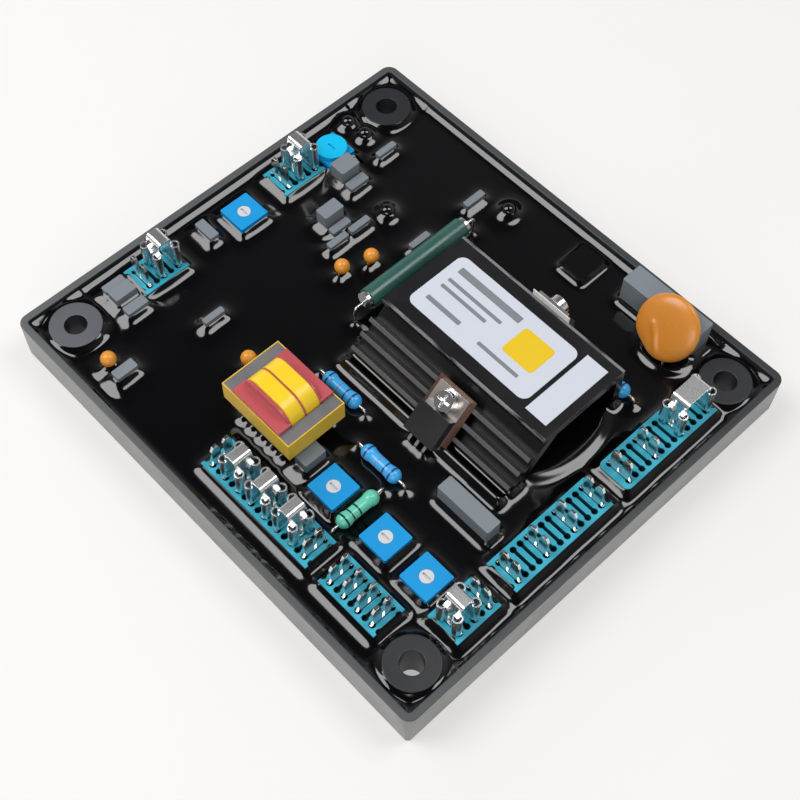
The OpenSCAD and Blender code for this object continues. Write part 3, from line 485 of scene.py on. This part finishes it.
# %% Find the separate solids of a node
def solids_of(name):
    """Boxes of the separate solids of a CAD node, found from its connected vertices."""
    data = nodes[name].data
    keys = {}
    parent = list(range(len(data.vertices)))

    def find(i):
        while parent[i] != i:
            parent[i] = parent[parent[i]]
            i = parent[i]
        return i

    for v in data.vertices:
        key = tuple(round(c, 6) for c in v.co)
        if key in keys:
            parent[find(v.index)] = find(keys[key])
        else:
            keys[key] = v.index
    for e in data.edges:
        a, b = find(e.vertices[0]), find(e.vertices[1])
        if a != b:
            parent[a] = b
    groups = {}
    for v in data.vertices:
        groups.setdefault(find(v.index), []).append(v.co)
    boxes = []
    for places in groups.values():
        table = np.array(places)
        boxes.append((Vector(table.min(0)), Vector(table.max(0))))
    return sorted(boxes, key=lambda b: (round(b[0].x, 4), round(b[0].y, 4)))


print("film capacitors found:", len(solids_of("film_capacitors")))

# %% Turn points into pieces
CORNER_STEPS = 6


def mesh_piece(name, verts, faces, finishes, indices=None, smooth=True):
    data = bpy.data.meshes.new(name)
    data.from_pydata(verts, [], faces)
    for finish in finishes:
        data.materials.append(finish)
    if indices is not None:
        data.polygons.foreach_set("material_index", indices)
    data.polygons.foreach_set("use_smooth", [smooth] * len(data.polygons))
    data.update()
    made = bpy.data.objects.new(name, data)
    scene.collection.objects.link(made)
    return made


def box_faces(lo, hi):
    corners = [(x, y, z) for x in (lo.x, hi.x) for y in (lo.y, hi.y) for z in (lo.z, hi.z)]
    quads = [(0, 1, 3, 2), (4, 6, 7, 5), (0, 4, 5, 1), (2, 3, 7, 6), (0, 2, 6, 4), (1, 5, 7, 3)]
    return corners, quads


def rounded_field(cx, cy, width, height, r):
    """The points of a rectangle with round corners, counter-clockwise from its right side."""
    points = []
    for k, (sx, sy) in enumerate(((1, 1), (-1, 1), (-1, -1), (1, -1))):
        for s in range(CORNER_STEPS + 1):
            angle = (k + s / CORNER_STEPS) * math.pi / 2
            across = sx * (width / 2 - r) + r * math.cos(angle)
            along = sy * (height / 2 - r) + r * math.sin(angle)
            points.append((cx + across, cy + along))
    return points


def prism(outline, y0, y1):
    """Corners and faces of a plate: an outline of points (x, z), carried from y0 to y1."""
    n = len(outline)
    corners = [(x, y, z) for y in (y0, y1) for x, z in outline]
    faces = [tuple(range(n)), tuple(range(2 * n - 1, n - 1, -1))]
    faces += [(k, n + k, n + (k + 1) % n, (k + 1) % n) for k in range(n)]
    return corners, faces


print("points of a rounded outline:", 4 * (CORNER_STEPS + 1))

# %% [markdown]
# ## Bobbin
# The bobbin's flanges and divider follow the rounded windings, a little below them, so that the windings
# stand proud. It ends below in a small foot round each pin, and not in a full rail, so the resin can be
# seen to climb the pins. It could be carved from a block with modifiers; plates with rounded outlines and
# a few boxes are all it takes, and they follow the boxes of the core, the windings and the pins.

# %% Mould the bobbin
# The flange's round is in mm, as rounded_field takes it here; the other lengths are in metres.
FLANGE_ROUND, FLANGE_WALL = 5.0, 0.8 * MM
DIVIDER_DROP, DIVIDER_HALF = 0.7 * MM, 0.3 * MM
SHELF_HIGH, CORE_CLEAR = 1.0 * MM, 0.1 * MM
FOOT_REACH = Vector((0.95, 1.2, 0.0)) * MM


def bobbin_plate(half_x, top, y0, y1):
    """An upright plate round the middle of the core, as wide as the bobbin and as high as top."""
    cx, _, cz = (CORE_LO + CORE_HI) / 2
    outline = rounded_field(cx / MM, cz / MM, 2 * half_x / MM, 2 * (top - cz) / MM, FLANGE_ROUND)
    return prism([(x * MM, z * MM) for x, z in outline], y0, y1)


def moulded_bobbin():
    lo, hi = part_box("transformer_bobbin")
    wound_lo, wound_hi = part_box("transformer_windings")
    middle = (CORE_LO + CORE_HI) / 2
    half_x = hi.x - middle.x
    divider_top = wound_hi.z - DIVIDER_DROP
    solids = [bobbin_plate(half_x, divider_top, middle.y - DIVIDER_HALF, middle.y + DIVIDER_HALF)]
    shelf = CORE_HI.z + CORE_CLEAR
    for side, inner, outer in ((-1, wound_lo.y, lo.y), (1, wound_hi.y, hi.y)):
        solids.append(bobbin_plate(half_x, hi.z, *sorted((inner, inner + side * FLANGE_WALL))))
        near, far = sorted((inner, outer))
        solids.append(box_faces(Vector((lo.x, near, shelf)), Vector((hi.x, far, shelf + SHELF_HIGH))))
    for pin_lo, pin_hi in solids_of("transformer_pins"):
        foot, top = (pin_lo + pin_hi) / 2 - FOOT_REACH, (pin_lo + pin_hi) / 2 + FOOT_REACH
        foot.z, top.z = pin_hi.z, CORE_LO.z - CORE_CLEAR
        solids.append(box_faces(foot, top))
    verts, faces = [], []
    for corners, polygons in solids:
        faces += [tuple(len(verts) + i for i in q) for q in polygons]
        verts += corners
    made = mesh_piece("moulded_bobbin", verts, faces, [BOBBIN], smooth=False)
    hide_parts("transformer_bobbin")
    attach(made, ROOT)
    return made


print("bobbin faces:", len(moulded_bobbin().data.polygons))

# %% [markdown]
# ## Film resistors
# A film resistor is a lacquered dog-bone with colour bands. The bands could be a ramp in the material. A
# lathe of one profile gives the shape anyway, and each ring of its faces takes the colour of the band it
# lies in, so the bands' edges follow the rings exactly.

# %% Lathe the film resistors
RINGS, SIDES = 84, 40
SWELL_AT, SWELL_SOFT = 0.5, 0.25
WAIST_SHARE, BULGE_SHARE = 0.84, 0.995
TIP_RADIUS = 0.05


def dog_bone(a, half, waist, bulge):
    """Radius of the resistor at distance a from its middle."""
    end = half - abs(a)
    ball = math.sqrt(max(0.0, 1.0 - max(0.0, 1.0 - end / bulge) ** 2)) * bulge
    swell = 1.0 / (1.0 + math.exp((half * SWELL_AT - abs(a)) / SWELL_SOFT))
    return min(ball, waist + (bulge - waist) * swell)


def band_at(place, bands):
    """Number of the band that covers a place along the resistor, or 0 for bare lacquer."""
    found = 0
    for n, (at, width) in enumerate(bands):
        if abs(place - at) < width / 2:
            found = n + 1
    return found


def resistor_mesh(places, half, waist, bulge, bands):
    """Points and faces of lathed resistors, in mm about their places, and each face's band."""
    verts, faces, indices = [], [], []
    stops = [half * math.sin(math.pi * (k / RINGS - 0.5)) for k in range(RINGS + 1)]
    turns = [(s, (s + 1) % SIDES) for s in range(SIDES)]
    for middle, along in places:
        side = Vector((-along.y, along.x, 0.0))
        base = len(verts)
        for a in stops:
            r = max(dog_bone(a, half, waist, bulge), TIP_RADIUS)
            for s in range(SIDES):
                angle = 2.0 * math.pi * s / SIDES
                spoke = side * (r * math.cos(angle)) + Vector((0, 0, r * math.sin(angle)))
                verts.append(middle + (along * a + spoke) * MM)
        for k in range(RINGS):
            low, high = base + k * SIDES, base + (k + 1) * SIDES
            faces += [(low + s, low + t, high + t, high + s) for s, t in turns]
            indices += [band_at((stops[k] + stops[k + 1]) / 2, bands)] * SIDES
        for k in (0, RINGS):
            cap = [base + k * SIDES + s for s in range(SIDES)]
            faces.append(cap if k else cap[::-1])
            indices.append(0)
    return verts, faces, indices


print("faces of one resistor:", RINGS * SIDES + 2)

# %% Band the film resistors
BAND_DARK = material("band_dark", (0.01, 0.025, 0.03), rough=(0.25, 0.35))
BAND_BLUE = material("band_blue", (0.01, 0.05, 0.2), rough=(0.25, 0.35))
BAND_RED = material("band_red", (0.3, 0.1, 0.2), rough=(0.25, 0.35))
BLUE = material("blue_lacquer", (0.05, 0.38, 0.78), rough=(0.18, 0.3), edge=0.05)
GREEN = material("green_lacquer", (0.12, 0.56, 0.4), rough=(0.2, 0.32), edge=0.05)
BLUE_BANDS = [(-4.4, 0.5, BAND_BLUE), (-0.6, 0.45, BAND_RED), (2.0, 0.45, BAND_BLUE), (4.2, 0.5, BAND_BLUE)]
GREEN_BANDS = [(-4.6, 0.45, BAND_DARK), (-2.4, 0.45, BAND_DARK), (-0.2, 0.45, BAND_DARK)]


def film_resistors(name, node, body, along, bands):
    """Banded resistors in the boxes of a node; a band is its place and width in mm, and its material."""
    boxes = solids_of(node)
    places = [((lo + hi) / 2, along) for lo, hi in boxes]
    half = (boxes[0][1] - boxes[0][0]).dot(Vector((abs(along.x), abs(along.y), 0))) / 2 / MM
    bulge = (boxes[0][1].z - boxes[0][0].z) / 2 / MM
    verts, faces, indices = resistor_mesh(places, half, bulge * WAIST_SHARE, bulge * BULGE_SHARE,
                                          [b[:2] for b in bands])
    made = mesh_piece(name, verts, faces, [body] + [b[2] for b in bands], indices)
    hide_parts(node)
    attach(made, ROOT)
    return made


film_resistors("banded_blue_resistors", "blue_resistors", BLUE, Vector((1, 0, 0)),
               BLUE_BANDS)
film_resistors("banded_green_resistor", "green_resistor", GREEN, Vector((0, 1, 0)),
               GREEN_BANDS)
print("blue resistors:", len(solids_of("blue_resistors")), "green:", len(solids_of("green_resistor")))

# %% [markdown]
# ## Disc suppressor
# The coating of a dipped disc is thick in the middle and thins towards the rim, and one lead shows
# through it as a ridge. A bump could fake the ridge, but the light catches its flank, so it is real
# shape. The disc is a lens in rings that stands inside the CAD disc: the coating sets each point's
# thickness, and the ridge is added on the front only.

# %% Measure the disc
DISC_LO, DISC_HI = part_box("disc_suppressor")
DISC_MIDDLE = (DISC_LO + DISC_HI) / 2
DISC_RADIUS = (DISC_HI.x - DISC_LO.x) / 2 / MM
DISC_LEAN = math.radians(36.0)
print("disc radius:", round(DISC_RADIUS, 2), "mm")

# %% Shape the coating
# Lengths are in mm; the other values are powers.
DISC_HALF, RIM_POWER = 2.1, 3
RIDGE_FROM, RIDGE_TO = Vector((-3.3, -0.6)), Vector((2.2, -8.2))
RIDGE_HIGH, RIDGE_WIDE, RIDGE_FADE = 0.55, 0.75, 8


def coating(across, up):
    """Half the disc's thickness in mm, and the height of the lead's ridge, at a point of its face."""
    share = min(math.hypot(across, up) / DISC_RADIUS, 1.0)
    body = DISC_HALF * math.sqrt(1.0 - share ** RIM_POWER)
    along = RIDGE_TO - RIDGE_FROM
    step = Vector((across, up)) - RIDGE_FROM
    part = min(max(step.dot(along) / along.length_squared, 0.0), 1.0)
    off = (step - along * part).length
    return body, RIDGE_HIGH * math.exp(-(off / RIDGE_WIDE) ** 2) * (1.0 - share ** RIDGE_FADE)


def disc_point(across, up, out):
    """A place in the frame, from mm across the disc's face, up it and out of it."""
    upward = Vector((0.0, math.sin(DISC_LEAN), math.cos(DISC_LEAN)))
    outward = Vector((0.0, -math.cos(DISC_LEAN), math.sin(DISC_LEAN)))
    return DISC_MIDDLE + (Vector((across, 0.0, 0.0)) + upward * up + outward * out) * MM


print("coating in the middle:", round(sum(coating(0.0, 0.0)), 2), "mm")

# %% Coat the disc
# One side is a little flat: its depth is a share of the radius, its place and spread are in radians.
FLAT_DEPTH, FLAT_ANGLE, FLAT_SPREAD = 0.08, -2.0, 0.4
DISC_RINGS, DISC_TURNS = 20, 72


def disc_points():
    """The front pole, rings over the rim from the front to the back, and the back pole."""
    points = [disc_point(0.0, 0.0, sum(coating(0.0, 0.0)))]
    for ring in range(1, 2 * DISC_RINGS):
        reach = DISC_RADIUS * math.sin(ring / DISC_RINGS * math.pi / 2)
        for turn in range(DISC_TURNS):
            angle = turn / DISC_TURNS * math.tau - math.pi
            cut = 1.0 - FLAT_DEPTH * math.exp(-((angle - FLAT_ANGLE) / FLAT_SPREAD) ** 2)
            across, up = reach * math.cos(angle), reach * math.sin(angle)
            body, ridge = coating(across, up)
            out = body + ridge if ring <= DISC_RINGS else -body
            points.append(disc_point(across * cut, up * cut, out))
    points.append(disc_point(0.0, 0.0, -DISC_HALF))
    return points


def coated_disc():
    verts, faces = disc_points(), []
    for turn in range(DISC_TURNS):
        a, b = 1 + turn, 1 + (turn + 1) % DISC_TURNS
        faces.append((0, a, b))
        for _ in range(2 * DISC_RINGS - 2):
            faces.append((a, a + DISC_TURNS, b + DISC_TURNS, b))
            a, b = a + DISC_TURNS, b + DISC_TURNS
        faces.append((a, len(verts) - 1, b))
    made = mesh_piece("coated_disc", verts, faces, [DISC_COATING])
    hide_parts("disc_suppressor")
    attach(made, ROOT)
    return made


print("disc faces:", len(coated_disc().data.polygons))

# %% [markdown]
# ## Resin surface
# Liquid resin wets every part it meets and climbs a little way up it. That rim of slope is what shows in
# the photo, because it mirrors the lamps while the flat resin mirrors the dark above. A fluid simulation
# could find the surface, but a height field is enough: each grid point rises by an amount that falls off
# with its distance from the nearest part, and in front of the small parts it falls off more slowly.

# %% Set the rules of wetting
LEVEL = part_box("potting")[1].z - 0.5 * MM
# In mm: the highest climb, the distance that it falls off over, and the pitch of the grid. CLIMB and CLOSE
# set the first two for single nodes.
RISE, REACH, STEP = 1.8, 1.35, 0.5
WET = ["tray", "heat_sink", "large_capacitor", "front_capacitor", "film_capacitors", "tantalum_beads",
       "small_transistors", "driver_chip"]
BOXED = STRIPS + TRIMMERS
CLIMB = {"tray": 1.5, "transformer_pins": 2.4, "device_leads": 1.2, "wirewound_leads": 1.2,
         "resistor_leads": 1.2, "suppressor_leads": 1.2, "terminal_strip_1": 1.5, "terminal_strip_2": 1.6}
CLOSE = {"tray": 0.55, "driver_chip": 0.6, "heat_sink": 0.8, "transformer_pins": 1.15,
         "large_capacitor": 0.8, "front_capacitor": 0.9, "terminal_strip_1": 1.0, "terminal_strip_2": 1.05}
SMALL, FRONT_STRETCH = ["film_capacitors", "tantalum_beads", "small_transistors"], 0.45


def wetted_tree():
    """A search tree of the wetted faces, and for each face how high, how far and how lopsided it draws."""
    verts, faces, rules = [], [], []
    for name in WET + LEADS + BOXED:
        if name in BOXED:
            corners, polygons = box_faces(*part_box(name))
        else:
            corners = [tuple(v.co) for v in nodes[name].data.vertices]
            polygons = [tuple(p.vertices) for p in nodes[name].data.polygons]
        base = len(verts)
        verts += corners
        faces += [tuple(base + i for i in q) for q in polygons]
        top = LEVEL + CLIMB[name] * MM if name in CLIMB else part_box(name)[1].z
        rule = (top, CLOSE.get(name, REACH), FRONT_STRETCH if name in SMALL else 0.0)
        rules += [rule] * len(polygons)
    return BVHTree.FromPolygons(verts, faces), rules


print("resin level:", round(LEVEL / MM, 2), "mm, wetted nodes:", len(WET + LEADS + BOXED))

# %% Work out the resin's height
# Lengths with MM are in metres and the others in mm; the waver's mean and swing are shares of RISE.
BOSS_X, BOSS_Y, BOSS_CLEAR, BOSS_TOP = 64.3, 56.2, 6.2, 12.8 * MM
BOSS_ZONE_X, BOSS_ZONE_Y = 56 * MM, 48 * MM
PROBE_ABOVE, PROBE_REACH = 0.4 * MM, 14.0 * MM
BURIED, TOUCHING, DRY_EDGE = -0.75, -0.2, 0.2
WAVER_MEAN, WAVER_SWING, WAVER_LENGTH = 0.95, 0.3, 9.0 * MM


def resin_height(tree, rules, x, y):
    """Height of the resin above its level at one point, in mm, or None inside a part."""
    at = Vector((x, y, LEVEL + PROBE_ABOVE))
    found, normal, index, distance = tree.find_nearest(at, PROBE_REACH)
    if found is None:
        return 0.0
    away = distance / MM
    if (at - found).dot(normal) < 0:
        away = -away
    if away < BURIED:
        return None
    top, reach, stretch = rules[index]
    if abs(x) > BOSS_ZONE_X and abs(y) > BOSS_ZONE_Y:
        top, reach = BOSS_TOP, REACH
    climb = min((top - LEVEL) / MM - DRY_EDGE, RISE)
    if reach == REACH:
        waver = WAVER_MEAN + WAVER_SWING * noise.noise(Vector((x, y, 0.0)) / WAVER_LENGTH)
        climb = min(climb, RISE * waver)
    reach *= 1.0 + stretch * max(0.0, -(at - found).normalized().y)
    return climb * math.exp(-max(away, TOUCHING) / reach)


print("highest climb:", RISE, "mm, falling off over", REACH, "mm")

# %% [markdown]
# ## Mounds and levelling
# Resin also lies in two low mounds, one run out under the right end of the heat sink and one under the
# disc, and surface tension rounds off every crease. Both could be sculpted by hand. An oval with a soft
# edge gives a mound, and a few passes of averaging over the grid do what the tension does.

# %% Heap and level the resin
MOUND_EDGE, MOUND_SOFT, MOUND_HIGH = 0.95, 0.05, 1.0
DISC_MOUND = (DISC_MIDDLE.x + 1.0 * MM, DISC_MIDDLE.y + 0.5 * MM, 9.7 * MM, 7.6 * MM)
SINK_MOUND = (SINK_HI.x - 4 * MM, 13.5 * MM, 10.6 * MM, 17.0 * MM)
SINK_MOUND_FROM = SINK_HI.x - 8 * MM
NEIGHBOURS = [(0, 0), (-1, 0), (1, 0), (0, -1), (0, 1)]
LEVEL_PASSES = 3


def oval_mound(x, y, middle_x, middle_y, half_x, half_y):
    oval = math.hypot((x - middle_x) / half_x, (y - middle_y) / half_y)
    return MOUND_HIGH / (1.0 + math.exp((oval - MOUND_EDGE) / MOUND_SOFT))


def mound_height(x, y):
    """Height of the mounds in mm; the heat sink's ends a little way in under its right end."""
    height = oval_mound(x, y, *DISC_MOUND)
    if x > SINK_MOUND_FROM:
        height = max(height, oval_mound(x, y, *SINK_MOUND))
    return height


def levelled(rise):
    """Average each point with its neighbours, as surface tension does, and leave the gaps open."""
    rows, columns = rise.shape
    for _ in range(LEVEL_PASSES):
        padded = np.pad(rise, 1, constant_values=np.nan)
        around = np.stack([padded[1 + i:1 + i + rows, 1 + j:1 + j + columns] for i, j in NEIGHBOURS])
        known = ~np.isnan(around)
        mean = np.where(known, around, 0.0).sum(0) / np.maximum(known.sum(0), 1)
        rise = np.where(np.isnan(rise), np.nan, mean)
    return rise


print("mounds at", [[round(v / MM, 1) for v in mound[:2]] for mound in (DISC_MOUND, SINK_MOUND)], "mm")


# %% Pour the resin
def resin_heights(xs, ys):
    """The resin's height over a grid in mm, with gaps inside the parts and the bosses."""
    tree, rules = wetted_tree()
    bosses = [Vector((sx * BOSS_X, sy * BOSS_Y)) for sx in (-1, 1) for sy in (-1, 1)]
    rise = np.full((len(xs), len(ys)), np.nan)
    for i, x in enumerate(xs):
        for j, y in enumerate(ys):
            if min((Vector((x, y)) / MM - b).length for b in bosses) > BOSS_CLEAR:
                height = resin_height(tree, rules, x, y)
                if height is not None:
                    rise[i, j] = max(height, mound_height(x, y))
    return levelled(rise)


def pour_resin():
    lo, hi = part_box("potting")
    nx, ny = round((hi.x - lo.x) / MM / STEP), round((hi.y - lo.y) / MM / STEP)
    xs, ys = np.linspace(lo.x, hi.x, nx + 1), np.linspace(lo.y, hi.y, ny + 1)
    rise = resin_heights(xs, ys)
    ids, verts = {}, []
    for i, j in np.argwhere(~np.isnan(rise)):
        ids[i, j] = len(verts)
        verts.append((xs[i], ys[j], LEVEL + rise[i, j] * MM))
    faces = []
    for i in range(nx):
        for j in range(ny):
            ring = [(i, j), (i + 1, j), (i + 1, j + 1), (i, j + 1)]
            if all(k in ids for k in ring):
                faces.append(tuple(ids[k] for k in ring))
    made = mesh_piece("resin_surface", verts, faces, [RESIN])
    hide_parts("potting")
    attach(made, ROOT)
    return made


print("resin surface faces:", len(pour_resin().data.polygons))

# %% [markdown]
# ## Label fields
# The two labels carry no print. A bare large label would look like a blank sheet, so plain bars and one
# yellow field stand where such a label has some. A mask in the label's material could draw them; thin
# flat shapes just above it keep their edges crisp from any distance.

# %% Add the label fields
YELLOW = material("label_yellow", (0.75, 0.5, 0.012), rough=(0.35, 0.45))
GREY = material("label_grey", (0.2, 0.21, 0.23), rough=(0.35, 0.45))
FIELD_Z = LABEL_HI.z + 0.02 * MM
FIELD_LEFT, FIELD_REAR = LABEL_LO.x / MM, LABEL_HI.y / MM
FIELD_ROUND, BAR_ROUND = 1.2, 0.3
FIELD_X, FIELD_Y, FIELD_WIDE, FIELD_HIGH = 32.5, 9.0, 10.5, 9.5
# Each bar: its left end, the distance of its middle from the rear edge, its width and its height, in mm.
BARS = [(3.0, 4.0, 22.0, 2.2), (3.0, 8.2, 19.0, 1.1), (3.0, 10.8, 16.0, 1.1), (3.0, 16.0, 12.0, 1.4),
        (22.0, 16.6, 14.0, 1.1)]


def flat_piece(name, outlines, finish, z):
    """Thin flat shapes: each outline is a list of points (x, y) in mm, all at the height z in metres."""
    verts, faces = [], []
    for points in outlines:
        faces.append(tuple(range(len(verts), len(verts) + len(points))))
        verts += [(x * MM, y * MM, z) for x, y in points]
    made = mesh_piece(name, verts, faces, [finish], smooth=False)
    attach(made, ROOT)
    return made


field = rounded_field(FIELD_LEFT + FIELD_X, FIELD_REAR - FIELD_Y, FIELD_WIDE, FIELD_HIGH, FIELD_ROUND)
flat_piece("label_field", [field], YELLOW, FIELD_Z)
bars = [rounded_field(FIELD_LEFT + x + w / 2, FIELD_REAR - y, w, h, BAR_ROUND) for x, y, w, h in BARS]
flat_piece("label_bars", bars, GREY, FIELD_Z)
print("label fields:", 1 + len(bars))

# %% [markdown]
# ## Floor
# The photo is a studio shot on a white sweep, which looks almost evenly bright. Light alone would leave a
# grey paper with a dark shadow. So half of what the camera and the mirrors see of it is its own glow, and
# the other half keeps the shadow, softened.

# %% Lay the floor
FLOOR_HALF, GLOW_SHARE = 3.0, 0.5
PAPER, PAPER_GLOW = (0.84, 0.835, 0.825), (0.9, 0.89, 0.875, 1.0)


def floor_paper():
    """White paper that looks evenly bright to the camera and in reflections, with a softened shadow."""
    made = material("floor_paper", PAPER, rough=(0.6, 0.7), edge=0.01)
    tree = made.node_tree
    shader = tree.nodes["Principled BSDF"]
    rays = tree.nodes.new("ShaderNodeLightPath")
    seen = math_node(tree, "MAXIMUM", rays.outputs["Is Camera Ray"], rays.outputs["Is Glossy Ray"])
    seen = math_node(tree, "MAXIMUM", seen, rays.outputs["Is Transmission Ray"])
    glow = tree.nodes.new("ShaderNodeEmission")
    glow.inputs["Color"].default_value = PAPER_GLOW
    mix = tree.nodes.new("ShaderNodeMixShader")
    tree.links.new(math_node(tree, "MULTIPLY", seen, GLOW_SHARE), mix.inputs["Fac"])
    tree.links.new(shader.outputs["BSDF"], mix.inputs[1])
    tree.links.new(glow.outputs["Emission"], mix.inputs[2])
    tree.links.new(mix.outputs["Shader"], tree.nodes["Material Output"].inputs["Surface"])
    return made


def floor_piece():
    corners = [(-FLOOR_HALF, -FLOOR_HALF, 0), (FLOOR_HALF, -FLOOR_HALF, 0), (FLOOR_HALF, FLOOR_HALF, 0),
               (-FLOOR_HALF, FLOOR_HALF, 0)]
    made = mesh_piece("floor", corners, [(0, 1, 2, 3)], [floor_paper()], smooth=False)
    return made


print("floor:", floor_piece().name, "half width", FLOOR_HALF, "m")

# %% [markdown]
# ## Light
# Two large soft boxes overhead give the bright rims of the resin. A window and a fill light the sides,
# and the surroundings are pale near the floor and dark above. One bright sky could light it all, but the
# resin lies flat, so the patch of sky it mirrors must be dark, and the window isn't mirrored in it.

# %% Hang the lights
AIM = Vector((0.0, 0.0, 0.0))


def soft_box(name, place, width, height, watts, mirrored=True):
    """An oval lamp that looks at the middle of the part; its place and size are in metres."""
    data = bpy.data.lights.new(name, "AREA")
    data.shape = "ELLIPSE"
    data.size, data.size_y = width, height
    data.energy = watts
    made = bpy.data.objects.new(name, data)
    made.location = place
    made.rotation_euler = (AIM - Vector(place)).to_track_quat("-Z", "Y").to_euler()
    made.visible_glossy = mirrored
    scene.collection.objects.link(made)
    return made


soft_box("left_key", (-0.38, -0.38, 0.86), 0.58, 0.8, 7.0)
soft_box("right_key", (0.24, 0.37, 0.9), 0.42, 0.6, 3.8)
soft_box("left_window", (-0.85, 0.15, 0.45), 0.6, 0.4, 1.6, mirrored=False)
soft_box("front_fill", (0.5, -0.65, 0.45), 0.6, 0.4, 2.2)
print("lights:", [light.name for light in bpy.data.lights])

# %% Paint the surroundings
SKY = [(0.03, 0.6), (0.36, 0.3), (0.6, 0.15), (0.7, 0.1), (0.8, 0.04), (0.95, 0.025)]
SKY_BLUE, SKY_TILT = 1.03, 0.25


def surroundings():
    """A sky in steps of (height, brightness), tilted so that the rear side, +Y, is a little paler."""
    world = bpy.data.worlds.new("studio")
    scene.world = world
    world.use_nodes = True
    tree = world.node_tree
    where = tree.nodes.new("ShaderNodeTexCoord")
    split = tree.nodes.new("ShaderNodeSeparateXYZ")
    ramp = tree.nodes.new("ShaderNodeValToRGB")
    steps = ramp.color_ramp.elements
    steps[0].position, steps[1].position = SKY[0][0], SKY[-1][0]
    for at, _ in SKY[1:-1]:
        steps.new(at)
    for step, (_, value) in zip(steps, SKY):
        step.color = (value, value, value * SKY_BLUE, 1)
    tree.links.new(where.outputs["Generated"], split.inputs["Vector"])
    tilt = math_node(tree, "MULTIPLY", split.outputs["Y"], SKY_TILT)
    tree.links.new(math_node(tree, "SUBTRACT", split.outputs["Z"], tilt), ramp.inputs["Fac"])
    tree.links.new(ramp.outputs["Color"], tree.nodes["Background"].inputs["Color"])


surroundings()
print("sky steps:", len(SKY))

# %% [markdown]
# ## Camera
# The camera looks down at the near corner. It could be placed by eye, but a part is only seen to be right
# from the photo's own angle. So its place, direction and lens come from fitting the tray's four corners,
# its base and its four bosses to the photo.

# %% Place the camera
CAMERA_PLACE = (0.14667, -0.14335, 0.33286)
CAMERA_RIGHT = Vector((0.68723, 0.72634, 0.01222)).normalized()
CAMERA_AHEAD = Vector((-0.36447, 0.35929, -0.85911)).normalized()
FOCAL_PIXELS, PHOTO_PIXELS, SENSOR = 1451.72, 800.0, 36.0

lens = bpy.data.cameras.new("camera")
lens.sensor_width = SENSOR
lens.lens = SENSOR * FOCAL_PIXELS / PHOTO_PIXELS
camera = bpy.data.objects.new("camera", lens)
camera_up = CAMERA_RIGHT.cross(CAMERA_AHEAD).normalized()
axes = Matrix((CAMERA_RIGHT, camera_up, -CAMERA_AHEAD)).transposed().to_4x4()
camera.matrix_world = Matrix.Translation(CAMERA_PLACE) @ axes
scene.collection.objects.link(camera)
scene.camera = camera
scene.view_settings.view_transform = "Standard"
print("lens:", round(lens.lens, 2), "mm")
